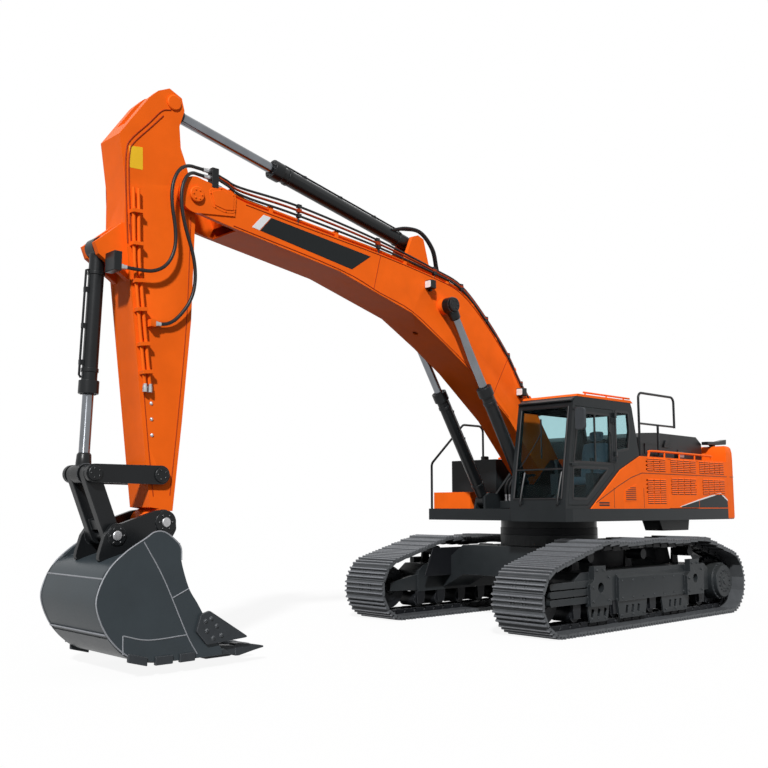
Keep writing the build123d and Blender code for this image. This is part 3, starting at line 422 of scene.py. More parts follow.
def rounded(points: Sequence[Flat], radius: float, steps: int = 4) -> list[Flat]:
    """Outline with every corner rounded.

    Args:
        points: outline points.
        radius: largest radius of a corner.
        steps: spans along each corner.

    Returns:
        The rounded outline.
    """
    made = []
    for i in range(len(points)):
        b = Vector(points[i])
        before = Vector(points[i - 1]) - b
        after = Vector(points[(i + 1) % len(points)]) - b
        half = max(0.05, before.angle(after) / 2)
        cut = min(radius / math.tan(half), before.length * 0.45, after.length * 0.45)
        start = b + before.normalized() * cut
        end = b + after.normalized() * cut
        for k in range(steps + 1):
            t = k / steps
            spot = start * (1 - t) ** 2 + b * 2 * t * (1 - t) + end * t * t
            made.append((spot.x, spot.y))
    return made


def disc(centre: Flat, radius: float, sides: int = 32) -> list[Flat]:
    """Round outline."""
    turns = [2 * math.pi * k / sides for k in range(sides)]
    return [(centre[0] + radius * math.cos(a), centre[1] + radius * math.sin(a)) for a in turns]


def strap(a: Flat, b: Flat, radius: float, sides: int) -> list[Flat]:
    """Outline around two equal circles.

    Args:
        a: centre of the first circle.
        b: centre of the second circle.
        radius: radius of both.
        sides: spans along each half circle.

    Returns:
        The outline.
    """
    way = math.atan2(b[1] - a[1], b[0] - a[0])
    points = []
    for centre, start in ((b, way - math.pi / 2), (a, way + math.pi / 2)):
        for k in range(sides + 1):
            turn = start + math.pi * k / sides
            points.append((centre[0] + radius * math.cos(turn), centre[1] + radius * math.sin(turn)))
    return points


def link_to_scene(piece: bpy.types.Object) -> bpy.types.Object:
    """Puts an object in the scene."""
    bpy.context.scene.collection.objects.link(piece)
    return piece


def evaluated_mesh(holder: bpy.types.Object) -> bpy.types.Mesh:
    """Plain mesh of an object as its modifiers or its curve make it."""
    graph = bpy.context.evaluated_depsgraph_get()
    return bpy.data.meshes.new_from_object(holder.evaluated_get(graph))


def dress(
    data: bpy.types.Mesh,
    name: str,
    body: str,
    finish: Finish,
    bevel: float = 4.0,
    replaces: Sequence[str] = (),
) -> bpy.types.Object:
    """Makes a mesh a finished piece that rides on a body.

    Args:
        data: the mesh, with its place in its points.
        name: the piece's name.
        body: the body it rides on.
        finish: its surface.
        bevel: width of its rounded edges in mm.
        replaces: solids it stands for.

    Returns:
        The piece.
    """
    data.materials.clear()
    data.materials.append(Paint.of(finish))
    data.shade_smooth()
    data.set_sharp_from_angle(angle=SHARP)
    piece = link_to_scene(bpy.data.objects.new(name, data))
    if bevel:
        edge = piece.modifiers.new("edge", "BEVEL")
        edge.width = bevel * MM
        edge.segments = 2
        edge.limit_method = "ANGLE"
        edge.angle_limit = SHARP
        edge.harden_normals = True
    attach(piece, body)
    if replaces:
        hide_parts(*replaces)
    LOG.info("%s rides on %s", name, body)
    return piece


def dress_solid(node: str, body: str, finish: Finish, bevel: float) -> None:
    """Dresses a copy of a solid's mesh, merged and with rounded edges, in the solid's place.

    Args:
        node: the solid.
        body: the body it rides on.
        finish: its surface.
        bevel: width of its rounded edges in mm.
    """
    work = bmesh.new()
    work.from_mesh(bpy.data.objects[node].data)
    bmesh.ops.remove_doubles(work, verts=work.verts, dist=0.1 * MM)
    bmesh.ops.dissolve_limit(work, angle_limit=math.radians(1.5), verts=work.verts, edges=work.edges)
    data = bpy.data.meshes.new(node + "_skin")
    work.to_mesh(data)
    work.free()
    dress(data, node + "_skin", body, finish, bevel, (node,))


@dataclass(frozen=True)
class Cap:
    """Turned cap or boss over a pin: its thickness, its edge along the axis and inwards, and its hole."""

    thick: float
    edge_along: float
    edge_in: float
    hole: float
    sides: int = 32


class Mould:
    """Gathers solid forms in millimetres for one piece."""

    def __init__(self) -> None:
        """Starts with no forms."""
        self.work = bmesh.new()

    def loft(self, loops: Sequence[Sequence[Vector]], closed: bool = False) -> "Mould":
        """Joins loops of equal length by faces and closes the ends.

        Args:
            loops: loops of points.
            closed: joins the last loop to the first.

        Returns:
            This mould.
        """
        rows = [[self.work.verts.new(p * MM) for p in loop] for loop in loops]
        pairs = list(zip(rows, rows[1:]))
        if closed:
            pairs.append((rows[-1], rows[0]))
        for low, high in pairs:
            for i in range(len(low)):
                j = (i + 1) % len(low)
                self.work.faces.new((low[i], low[j], high[j], high[i]))
        if not closed:
            self.work.faces.new(rows[0][::-1])
            self.work.faces.new(rows[-1])
        return self

    def slab(self, outline: Sequence[Flat], face: Face, near: float, far: float) -> "Mould":
        """Outline swept straight between two depths."""
        return self.loft([[face.place(u, v, depth) for u, v in outline] for depth in (near, far)])

    def plate(self, outline: Sequence[Flat], sign: int, near: float, far: float) -> "Mould":
        """Outline in X and Z, swept between two distances out from the middle on one side."""
        return self.slab(outline, Face.SIDE, sign * near, sign * far)

    def ring(self, outer: Sequence[Flat], width: float, near: float, far: float) -> "Mould":
        """Frame inside an outline in X and Z.

        Args:
            outer: outline of the frame.
            width: its width inwards.
            near: Y where it starts.
            far: Y where it ends.

        Returns:
            This mould.
        """
        inner = inset(outer, width)
        steps = ((outer, near), (outer, far), (inner, far), (inner, near))
        loops = [[Face.SIDE.place(u, v, depth) for u, v in loop] for loop, depth in steps]
        return self.loft(loops, closed=True)

    def box(self, centre: Spot, size: Spot) -> "Mould":
        """Block by its middle and size."""
        x, y, z = centre
        a, b, c = (s / 2 for s in size)
        return self.slab(oblong(x - a, z - c, x + a, z + c), Face.SIDE, y - b, y + b)

    def lathe(self, a: Spot, b: Spot, profile: Iterable[Flat], sides: int = 32) -> "Mould":
        """Turned form along the line from a to b.

        Args:
            a: start of the axis.
            b: point the axis runs towards.
            profile: distance along the axis and radius of each ring.
            sides: faces around.

        Returns:
            This mould.
        """
        start = Vector(a)
        turn = (Vector(b) - start).to_track_quat("Z", "Y").to_matrix()
        loops = []
        for along, radius in profile:
            loops.append([start + turn @ Vector((u, v, along)) for u, v in disc((0, 0), radius, sides)])
        return self.loft(loops)

    def rod(self, a: Spot, b: Spot, radius: float, sides: int = 24) -> "Mould":
        """Round bar with chamfered ends.

        Args:
            a: one end.
            b: the other end.
            radius: its radius.
            sides: faces around.

        Returns:
            This mould.
        """
        length = (Vector(b) - Vector(a)).length
        edge = min(radius * 0.15, length * 0.2)
        profile = [(0, radius - edge), (edge, radius), (length - edge, radius), (length, radius - edge)]
        return self.lathe(a, b, profile, sides)

    def cap(self, pin: Flat, sign: int, near: float, radius: float, form: Cap) -> "Mould":
        """Turned cap over a pin square to Y.

        Args:
            pin: X and Z of the pin.
            sign: side it faces.
            near: distance of its foot from the middle.
            radius: its radius.
            form: its other sizes.

        Returns:
            This mould.
        """
        x, z = pin
        profile = [(0, radius), (form.thick - form.edge_along, radius)]
        profile += [(form.thick, radius - form.edge_in), (form.thick, form.hole)]
        return self.lathe((x, sign * near, z), (x, sign * (near + form.thick), z), profile, form.sides)

    def tube(self, points: Sequence[Sequence[float]], radius: float, sides: int = 10) -> "Mould":
        """Round tube along points.

        Args:
            points: middle line of the tube.
            radius: its radius.
            sides: faces around.

        Returns:
            This mould.
        """
        line = [Vector(p) for p in points]
        ways = []
        for i in range(len(line)):
            ways.append((line[min(i + 1, len(line) - 1)] - line[max(i - 1, 0)]).normalized())
        turn = ways[0].to_track_quat("Z", "Y")
        loops = []
        for i, spot in enumerate(line):
            if i:
                turn = ways[i - 1].rotation_difference(ways[i]) @ turn
            matrix = turn.to_matrix()
            loops.append([spot + matrix @ Vector((u, v, 0)) for u, v in disc((0, 0), radius, sides)])
        return self.loft(loops)

    def mesh(self, name: str) -> bpy.types.Mesh:
        """Turns the forms into a mesh whose faces point outwards.

        Args:
            name: the mesh's name.

        Returns:
            The mesh.
        """
        bmesh.ops.recalc_face_normals(self.work, faces=self.work.faces[:])
        data = bpy.data.meshes.new(name)
        self.work.to_mesh(data)
        self.work.free()
        return data

    def shape(self, name: str) -> bpy.types.Object:
        """Turns the forms into a bare object, for use as the copy of a pattern."""
        return link_to_scene(bpy.data.objects.new(name, self.mesh(name)))

    def done(
        self, name: str, body: str, finish: Finish, bevel: float = 4.0, replaces: Sequence[str] = ()
    ) -> bpy.types.Object:
        """Turns the forms into a finished piece; see dress for the arguments."""
        return dress(self.mesh(name), name, body, finish, bevel, replaces)


class Pattern:
    """Geometry Nodes tree that sets copies of a shape along a path or on spots."""

    trees: dict[Layout, bpy.types.NodeTree] = {}

    def __init__(self, layout: Layout) -> None:
        """Takes the tree of a layout, built on first use."""
        self.layout = layout
        if layout not in self.trees:
            self.trees[layout] = self.plan()
        self.tree = self.trees[layout]

    def plan(self) -> bpy.types.NodeTree:
        """Builds the tree with its named inputs.

        Returns:
            The node tree.
        """
        tree = bpy.data.node_groups.new("copies_on_" + self.layout.value, "GeometryNodeTree")
        sockets = (
            ("Geometry", "INPUT", "NodeSocketGeometry"),
            ("Shape", "INPUT", "NodeSocketObject"),
            ("Count", "INPUT", "NodeSocketInt"),
            ("Finish", "INPUT", "NodeSocketMaterial"),
            ("Geometry", "OUTPUT", "NodeSocketGeometry"),
        )
        for name, way, kind in sockets:
            tree.interface.new_socket(name, in_out=way, socket_type=kind)
        nodes = Nodes(tree)
        given = nodes.node("NodeGroupInput").outputs
        shape = nodes.node("GeometryNodeObjectInfo", None, {"Object": given["Shape"]})
        placed = {"Instance": shape.outputs["Geometry"]}
        if self.layout is Layout.PATH:
            line = nodes.node("GeometryNodeMeshToCurve", None, {0: given["Geometry"]})
            along = {"Curve": line.outputs[0], "Count": given["Count"]}
            points = nodes.node("GeometryNodeCurveToPoints", {"mode": "COUNT"}, along)
            placed["Points"] = points.outputs["Points"]
            aim = {"axis": "X", "pivot_axis": "Y"}
            facing = points.outputs["Tangent"]
        else:
            placed["Points"] = given["Geometry"]
            placed["Scale"] = self.attribute(nodes, "stretch")
            aim = {"axis": "Z"}
            facing = self.attribute(nodes, "facing")
        turn = nodes.node("FunctionNodeAlignRotationToVector", aim, {"Vector": facing})
        placed["Rotation"] = turn.outputs[0]
        copies = nodes.node("GeometryNodeInstanceOnPoints", None, placed)
        real = nodes.node("GeometryNodeRealizeInstances", None, {0: copies.outputs[0]})
        coat = {"Geometry": real.outputs[0], "Material": given["Finish"]}
        painted = nodes.node("GeometryNodeSetMaterial", None, coat)
        nodes.node("NodeGroupOutput", None, {0: painted.outputs[0]})
        return tree

    @staticmethod
    def attribute(nodes: Nodes, name: str) -> bpy.types.NodeSocket:
        """Vector attribute of the points, by name."""
        kind = {"data_type": "FLOAT_VECTOR"}
        return nodes.node("GeometryNodeInputNamedAttribute", kind, {"Name": name}).outputs[0]

    def mesh(
        self, carrier: bpy.types.Mesh, shape: bpy.types.Object, finish: Finish, count: int
    ) -> bpy.types.Mesh:
        """Sets the copies out and gives them as one plain mesh.

        Args:
            carrier: path or spots.
            shape: object that is copied; it is removed afterwards.
            finish: surface of the copies.
            count: copies along a path.

        Returns:
            The mesh of all copies.
        """
        holder = link_to_scene(bpy.data.objects.new("carrier", carrier))
        nodes = holder.modifiers.new("copies", "NODES")
        nodes.node_group = self.tree
        values = {"Shape": shape, "Count": count, "Finish": Paint.of(finish)}
        for item in self.tree.interface.items_tree:
            if item.in_out == "INPUT" and item.name in values:
                nodes[item.identifier] = values[item.name]
        data = evaluated_mesh(holder)
        holder.modifiers.remove(nodes)
        bpy.data.objects.remove(holder)
        bpy.data.objects.remove(shape)
        return data


@dataclass
class Copy:
    """Place, facing and stretch of one copy in a pattern."""

    spot: Spot
    facing: Spot
    stretch: Spot = (1.0, 1.0, 1.0)


def copies_on_spots(
    name: str, body: str, finish: Finish, shape: bpy.types.Object, copies: Sequence[Copy]
) -> None:
    """Piece made of copies of a shape on spots.

    Args:
        name: the piece's name.
        body: the body it rides on.
        finish: its surface.
        shape: object that is copied.
        copies: where the copies go.
    """
    carrier = bpy.data.meshes.new(name + "_spots")
    carrier.from_pydata([[c * MM for c in copy.spot] for copy in copies], [], [])
    for key in ("facing", "stretch"):
        layer = carrier.attributes.new(key, "FLOAT_VECTOR", "POINT")
        for i, copy in enumerate(copies):
            layer.data[i].vector = getattr(copy, key)
    data = Pattern(Layout.SPOTS).mesh(carrier, shape, finish, len(copies))
    dress(data, name, body, finish, 0.0)


def bolt_shape() -> bpy.types.Object:
    """Hexagon head on a washer, with a radius of 1 mm to be stretched.

    Returns:
        The shape.
    """
    head = Mould()
    head.lathe((0, 0, -0.3), (0, 0, 1), [(0, 1.3), (0.45, 1.3)], 12)
    head.lathe((0, 0, 0), (0, 0, 1), [(0, 1.0), (0.75, 1.0), (0.95, 0.75)], 6)
    return head.shape("bolt_head")


def bolts(name: str, body: str, finish: Finish, spots: Sequence[Spot], facing: Spot, radius: float) -> None:
    """Bolt heads on spots that face one way."""
    size = (radius, radius, radius)
    copies_on_spots(name, body, finish, bolt_shape(), [Copy(s, facing, size) for s in spots])


def bolt_ring(centre: Spot, radius: float, count: int) -> list[Spot]:
    """Spots on a circle in a plane square to Y."""
    return at_y(disc((centre[0], centre[2]), radius, count), centre[1])


@dataclass(frozen=True)
class Pins:
    """Pivots of the front attachment as X and Z."""

    boom_tip: Flat = (6830, 5170)
    lift_foot: Flat = (1050, 1780)
    lift_pin: Flat = (2750, 4480)
    arm_base: Flat = (3100, 5350)
    arm_pin: Flat = (7088, 6205)
    bucket_pin: Flat = (7081, 1517)
    guide_pin: Flat = (7140, 2016)
    link_pin: Flat = (7899, 2020)
    bucket_link_pin: Flat = (7642, 1387)
    curl_base: Flat = (7830, 4420)


PINS = Pins()


@dataclass
class Tracks:
    """Two track chains with their shoes, wheels and rollers.

    The end wheels are given as X and radius; the radius is also the height of the middle.
    """

    body: str = "undercarriage"
    gauge: float = 2900
    shoe_width: float = 820
    shoe_pitch: float = 216
    shoe_gap: float = 2
    shoe_lap: float = 14
    plate_depth: float = 24
    ridge_high: float = 36
    ridge_foot: float = 20
    ridge_tip: float = 9
    ridge_xs: Spot = (68, 0, -68)
    shoe_bolt_xs: Flat = (-34, 34)
    shoe_bolt_ys: tuple[float, ...] = (-120, -70, 70, 120)
    idler: Flat = (2200, 470)
    idler_arc: Flat = (-90.0, 74.6)
    sprocket: Flat = (-2280, 500)
    sprocket_arc: Flat = (104.8, 270.0)
    arc_steps: int = 24
    carrier_xs: Spot = (1170, -180, -1540)
    top_z: float = 1228
    sag: float = 35
    link_half: float = 100
    link_depth: float = 52
    link_radius: float = 44
    link_ys: Flat = (96, 150)
    link_pin: Flat = (162, 24)
    teeth: int = 23
    root_radius: float = 338
    tip_radius: float = 378
    wheel_half: float = 48
    drum_rim: Outline = ((95, 0), (85, 8), (85, 26), (30, 34), (22, 44))
    drum_hub: Outline = ((22, 128), (14, 120), (14, 60), (0, 54), (0, 12))

    def arc(self, wheel: Flat, span: Flat) -> list[Flat]:
        """Path of the ridges' feet round one end wheel.

        Args:
            wheel: X and radius of the wheel.
            span: first and last angle in degrees.

        Returns:
            Points as X and Z.
        """
        x, r = wheel
        points = []
        for i in range(self.arc_steps + 1):
            a = math.radians(span[0] + (span[1] - span[0]) * i / self.arc_steps)
            reach = r - self.ridge_high
            points.append((x + reach * math.cos(a), r + reach * math.sin(a)))
        return points

    def path(self) -> list[Flat]:
        """Loop at the ridges' feet, with its top run towards +X and hanging between the carriers.

        Returns:
            Points as X and Z.
        """
        high = self.top_z - self.ridge_high
        top = []
        for i, x in enumerate(self.carrier_xs):
            if i:
                top.append(((self.carrier_xs[i - 1] + x) / 2, high - self.sag))
            top.append((x, high))
        loop = self.arc(self.idler, self.idler_arc) + top + self.arc(self.sprocket, self.sprocket_arc)
        return loop[::-1]

    def shoe(self) -> bpy.types.Object:
        """One shoe with three ridges, its bolt heads and a lap under the next shoe.

        Returns:
            The shape; its wear attribute is 1 on the ridge tips.
        """
        half = self.shoe_pitch / 2 - self.shoe_gap
        foot = -self.plate_depth
        lap = half + self.shoe_lap
        outline = [(-half, foot), (lap, foot - 8), (lap, foot + 4), (half, 4), (half - 16, 2)]
        for x in self.ridge_xs:
            outline += [(x + self.ridge_foot, 0), (x + self.ridge_tip, self.ridge_high)]
            outline += [(x - self.ridge_tip, self.ridge_high), (x - self.ridge_foot, 0)]
        outline += [(-half + 16, 0), (-half, -8)]
        wide = self.shoe_width / 2
        form = Mould().slab(outline, Face.SIDE, -wide, wide)
        for x in self.shoe_bolt_xs:
            for y in self.shoe_bolt_ys:
                form.lathe((x, y, -2), (x, y, 10), [(0, 15), (13, 15)], 6)
        shape = form.shape("track_shoe")
        worn = shape.data.attributes.new("wear", "FLOAT", "POINT")
        for i, vertex in enumerate(shape.data.vertices):
            worn.data[i].value = 1.0 if vertex.co.z > 0.9 * self.ridge_high * MM else 0.0
        return shape

    def chain_link(self) -> bpy.types.Object:
        """One pair of chain links with its pin.

        Returns:
            The shape.
        """
        z = -self.link_depth
        outline = strap((-self.link_half, z), (self.link_half, z), self.link_radius, 5)
        form = Mould()
        for sign in (-1, 1):
            form.plate(outline, sign, *self.link_ys)
        reach, radius = self.link_pin
        form.rod((self.link_half, -reach, z), (self.link_half, reach, z), radius, 10)
        return form.shape("chain_link")

    def lay(
        self, name: str, y: float, shape: bpy.types.Object, finish: Finish, replaces: Sequence[str]
    ) -> None:
        """Lays copies of a shape along one loop.

        Args:
            name: the piece's name.
            y: middle of the track.
            shape: object that is copied.
            finish: its surface.
            replaces: solids it stands for.
        """
        loop = self.path()
        carrier = bpy.data.meshes.new(name + "_path")
        links = [(i, (i + 1) % len(loop)) for i in range(len(loop))]
        carrier.from_pydata([(x * MM, y * MM, z * MM) for x, z in loop], links, [])
        length = sum((Vector(loop[i]) - Vector(loop[i - 1])).length for i in range(len(loop)))
        count = round(length / self.shoe_pitch)
        data = Pattern(Layout.PATH).mesh(carrier, shape, finish, count)
        dress(data, name, self.body, finish, 0.0, replaces)

    def drive(self, name: str, sign: int) -> None:
        """Toothed wheel and bolted drum of one final drive.

        Args:
            name: side's name.
            sign: side.
        """
        x, z = self.sprocket
        outline = []
        for k in range(self.teeth * 4):
            a = 2 * math.pi * k / (self.teeth * 4)
            r = self.root_radius if k % 4 < 2 else self.tip_radius
            outline.append((x + r * math.cos(a), z + r * math.sin(a)))
        y = self.gauge / 2
        wheel = Mould().plate(outline, sign, y - self.wheel_half, y + self.wheel_half)
        wheel.done("drive_wheel_" + name + "_teeth", self.body, WHEEL, 4, ("drive_wheel_" + name,))
        low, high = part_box("drive_drum_" + name)
        near, far = sorted((abs(low.y) / MM, abs(high.y) / MM))
        reach = far - near
        r = (high.z - low.z) / MM / 2
        profile = [(0, r)] + [(reach - back, r - cut) for back, cut in self.drum_rim]
        profile += [(reach - back, hub) for back, hub in self.drum_hub]
        drum = Mould().lathe((x, sign * near, z), (x, sign * far, z), profile, 48)
        drum.done("drive_drum_" + name + "_cover", self.body, FRAME, 4, ("drive_drum_" + name,))
        # Name, distance behind the outer face, ring radius, count, finish and bolt radius.
        rings = (("rim", 86, r - 15, 24, FRAME, 12), ("cover", 22, 162, 14, WHEEL, 14))
        for what, back, ring, count, finish, size in rings:
            spots = bolt_ring((x, sign * (far - back), z), ring, count)
            bolts("drum_" + what + "_bolts_" + name, self.body, finish, spots, (0, sign, 0), size)

    def build(self) -> None:
        """Builds both tracks."""
        for name, sign in SIDES:
            y = sign * self.gauge / 2
            self.lay("track_shoes_" + name, y, self.shoe(), TRACK, ("track_" + name,))
            self.lay("track_links_" + name, y, self.chain_link(), WHEEL, ())
            self.drive(name, sign)
            for node in ("idler_", "rollers_"):
                dress_solid(node + name, self.body, WHEEL, 5)


@dataclass
class SideFrames:
    """Side frames, the carbody between them and the swing bearing."""

    body: str = "undercarriage"
    bracket_y: float = 1760
    bracket_xs: Flat = (1210, -1350)
    bracket_bolts: Outline = ((-190, 410), (190, 410), (-190, 720), (190, 600), (-70, 820), (90, 820))
    guard_bolt_xs: tuple[float, ...] = (-1130, -850, -570, 30, 320, 610, 1010, 1180, 1340)
    guard_bolt_y: float = 1686
    guard_bolt_z: float = 170
    cover_y: float = 1715
    cover_start: float = -1060
    cover_step: float = 280
    cover_count: int = 7
    cover_zs: Flat = (410, 650)
    # Dark sheet of painted shade inside each track, as X and Z, and its Y.
    inner_guard: Outline = ((-1900, 620), (1750, 620), (1560, 1050), (-1740, 1050))
    inner_guard_ys: Flat = (1050, 1074)
    bearing_radius: float = 730
    bearing_z: float = 1250
    bearing_bolts: int = 40

    def build(self) -> None:
        """Dresses the frames and adds their bolts, and a dark sheet of painted shade inside each track
        between the frame and the top run.
        """
        for name, sign in SIDES:
            dress_solid("track_frame_" + name, self.body, FRAME, 7)
            brackets = [(x + dx, z) for x in self.bracket_xs for dx, z in self.bracket_bolts]
            guards = [(x, self.guard_bolt_z) for x in self.guard_bolt_xs]
            cover_xs = [self.cover_start + self.cover_step * k for k in range(self.cover_count)]
            covers = [(x, z) for x in cover_xs for z in self.cover_zs]
            # Name, places, distance from the middle and bolt radius.
            groups = (
                ("bracket", brackets, self.bracket_y, 17),
                ("guard", guards, self.guard_bolt_y, 14),
                ("cover", covers, self.cover_y, 11),
            )
            for what, places, y, size in groups:
                bolts(what + "_bolts_" + name, self.body, FRAME, at_y(places, sign * y), (0, sign, 0), size)
            # Dark sheet of painted shade that fills the gap between the frame and the track's top run.
            shade = Mould().plate(self.inner_guard, sign, *self.inner_guard_ys)
            shade.done("inner_guard_" + name, self.body, WHEEL, 6)
        dress_solid("carbody", self.body, FRAME, 9)
        dress_solid("swing_bearing", self.body, WHEEL, 5)
        ring = [(x, y, self.bearing_z) for x, y in disc((0, 0), self.bearing_radius, self.bearing_bolts)]
        bolts("bearing_bolts", self.body, WHEEL, ring, (0, 0, -1), 16)


@dataclass
class House:
    """Deck, panels, doors, counterweight, hood and what stands on them.

    Outlines on a side are in X and Z. Rows of air slots hold their lowest height and their count,
    foot_route holds X from the port, the share of its Y and Z, and weight_steps holds the height,
    inset and lean of each level.
    """

    body: str = "house"
    half: float = 1535
    seam_z: float = 2185
    seam_half: float = 5
    seam_proud: float = 1.5
    slot_step: float = 29
    slot_length: float = 180
    upper_rows: tuple[float, int] = (2226, 7)
    lower_rows: tuple[float, int] = (1878, 9)
    tall_rows: tuple[float, int] = (1733, 13)
    louvre_lip: Outline = ((13, 0), (13, 2), (7, 9), (-2, 12), (-5, 11), (-1, 8), (5, 3), (6, 0))
    door_plate: Outline = ((-1984, 1668), (-1440, 1668), (-1400, 1680), (-1984, 1778))
    door_edge: Outline = ((-1984, 1780), (-1400, 1682), (-1360, 1682), (-1984, 1800))
    rear_plate: Outline = ((-2950, 1668), (-1996, 1668), (-1996, 1780), (-2702, 1893), (-2950, 1772))
    rear_edge: Outline = (
        (-1996, 1782), (-1996, 1802), (-2706, 1921), (-2950, 1800), (-2950, 1775), (-2703, 1896),
    )
    taper_seam: Outline = ((-290, 2180), (9, 2106), (350, 1980), (930, 1735))
    vent_patch: Outline = ((-129, 1770), (200, 1757), (200, 1925), (-124, 2015))
    vent_proud: float = 5
    vent_rows: tuple[float, int] = (1785, 7)
    vent_left: float = -100
    vent_wide: float = 270
    vent_full_rows: int = 5
    vent_taper: float = 60
    side_slot_xs: Flat = (600, 860)
    side_slot_z: float = 1692
    side_slot_high: float = 22
    side_slot_step: float = 34
    upright_seam_xs: Flat = (470, -330)
    upright_seam_zs: Flat = (1665, 1960)
    upright_seam_wide: float = 8
    walk_z: float = 2440
    walk_rail: Outline = (
        (-576, 2440), (-600, 2500), (-670, 2532), (-1500, 2530), (-2480, 2520), (-2540, 2495), (-2556, 2440),
    )
    walk_rail_y: float = 1480
    walk_posts: Spot = (-1050, -1500, -1990)
    walk_lamp: Spot = (-1640, 1405, 2505)
    tread_front: float = -560
    tread_inner: float = 1250
    tread_pitch: float = 78
    tread_row: float = 70
    tread_rows: int = 3
    tread_studs: int = 28
    tread_size: Spot = (22, 7, 3)
    rib_start: float = -1420
    rib_step: float = 50
    rib_z: float = 2872
    rib_y: float = 560
    rib_length: float = 820
    rib_count: int = 22
    rib: Outline = ((-16, -3), (16, -3), (10, 8), (-12, 12))
    hood_y: float = 1186
    hood_pads: tuple[Outline, ...] = (((-2410, 2500), (-1990, 2620)), ((-1270, 2520), (-970, 2680)))
    hood_pad_half: float = 8
    hood_latch: Outline = ((-1745, 2640), (-1543, 2640), (-1543, 2675), (-1600, 2758), (-1745, 2758))
    hood_handle: tuple[Spot, ...] = ((-1300, 0, 2500), (-1300, 34, 2510), (-1480, 34, 2510), (-1480, 0, 2500))
    valve_blocks: tuple[tuple[Spot, Spot], ...] = (
        ((-60, 0, 1780), (360, 420, 250)), ((760, 0, 1712), (420, 380, 116)),
    )
    foot_port: Spot = (880, 60, 1766)
    foot_step: Flat = (26, 34)
    foot_fitting: Outline = ((0, 20), (34, 20), (36, 15), (70, 15), (74, 19), (104, 19))
    foot_route: tuple[Spot, ...] = (
        (0, 1, 1850), (6, 1, 1960), (-70, 1, 2090), (-250, 1, 2170),
        (-420, 0.9, 2130), (-540, 0.8, 1990), (-600, 0.8, 1860), (-610, 0.8, 1790),
    )
    filler: Spot = (300, -1050, 2400)
    filler_form: Outline = ((0, 66), (100, 66), (112, 58), (112, 10))
    weight_front: float = -2962
    weight_side: float = -3200
    weight_rear: float = -3490
    weight_start: Outline = ((-2960, 1535), (-3060, 1536))
    weight_corner: Outline = ((-3180, 1535), (-3370, 1355), (-3440, 975), (-3490, 500))
    weight_steps: tuple[Spot, ...] = (
        (1475, 22, 0), (1490, 6, 0), (1520, 0, 0), (2330, 0, 0), (2470, 0, 34),
        (2590, 4, 78), (2670, 20, 128), (2706, 48, 150), (2718, 90, 160),
    )
    lifting_eye: Outline = ((-3210, 2700), (-3010, 2700), (-3040, 2830), (-3180, 2830))
    lifting_pin: Flat = (-3110, 2775)
    lifting_y: float = 800
    lifting_half: float = 30
    lifting_plate: float = 12
    rear_lamp: Spot = (-3440, 900, 1700)
    rear_camera: Spot = (-3345, 0, 2600)

    def dress_solids(self) -> None:
        """Dresses the solids that keep their shape."""
        # Solid, body, finish and width of its rounded edges.
        solids = [
            ("swing_frame", self.body, CHARCOAL, 6),
            ("fuel_tank", self.body, CHARCOAL, 24),
            ("top_deck", self.body, ORANGE, 8),
            ("tool_box", self.body, ORANGE, 8),
            ("exhaust", self.body, BLACK, 14),
            ("engine_block", self.body, ENGINE, 20),
            ("engine_hood", "hood", BLACK, 34),
        ]
        for name, _ in SIDES:
            solids += [
                ("side_panel_" + name, self.body, ORANGE, 3),
                ("rear_panel_" + name, self.body, ORANGE, 3),
                ("side_door_" + name, "bay_door_" + name, ORANGE, 3),
                ("handrail_" + name, self.body, BLACK, 0),
            ]
        for node, body, finish, bevel in solids:
            dress_solid(node, body, finish, bevel)

    def lip_shape(self, sign: int) -> bpy.types.Object:
        """Pressed lip over an air slot, one millimetre long to be stretched along X."""
        loops = [[Vector((x, -sign * y, z)) for y, z in self.louvre_lip] for x in (-0.5, 0.5)]
        return Mould().loft(loops).shape("louvre_lip")

    @staticmethod
    def slot_shade_shape() -> bpy.types.Object:
        """Dark strip of painted shade in the mouth of an air slot, one millimetre long to be stretched along
        X.
        """
        return Mould().box((0, 0, 0.6), (1, 15, 1.8)).shape("louvre_mouth")

    def rows(self, low: float, count: int) -> list[float]:
        """Heights of a block of air slots."""
        return [low + self.slot_step * k for k in range(count)]

    def louvres(self) -> None:
        """Rows of lips over the air slots and dark strips of painted shade in their mouths, on the panels and
        on the doors.
        """
        upper = self.rows(*self.upper_rows)
        lower = self.rows(*self.lower_rows)
        tall = self.rows(*self.tall_rows)
        # Front and rear X of each block and its heights.
        panels = ((-429, -977, upper), (-2020, -2862, upper), (-429, -977, tall), (-2118, -2872, lower))
        doors = ((-1118, -1920, upper), (-1128, -1912, lower))
        for name, sign in SIDES:
            facing = (0, sign, 0)
            y = sign * self.half
            for what, body, groups in (("panels", self.body, panels), ("door", "bay_door_" + name, doors)):
                lips = []
                mouths = []
                for front, rear, heights in groups:
                    cells = round((front - rear) / self.slot_length)
                    step = (front - rear) / cells
                    for z in heights:
                        for k in range(cells):
                            x = front - step * (k + 0.5)
                            lips.append(Copy((x, y, z + 8), facing, (step - 20, 1, 1)))
                            mouths.append(Copy((x, y, z), facing, (step - 26, 1, 1)))
                ending = what + "_" + name
                copies_on_spots("louvre_lips_" + ending, body, ORANGE, self.lip_shape(sign), lips)
                # The dark strips under the lips are painted shade in the slots' mouths.
                copies_on_spots("louvre_mouths_" + ending, body, DARK_PLATE_AND_PAINTED_SHADE, self.slot_shade_shape(), mouths)

    def strip(
        self, name: str, body: str, outline: Sequence[Flat], sign: int, finish: Finish, proud: float
    ) -> None:
        """Thin plate that stands proud of the outer face of a side."""
        Mould().plate(outline, sign, self.half - 1, self.half + proud).done(name, body, finish, 0.8)

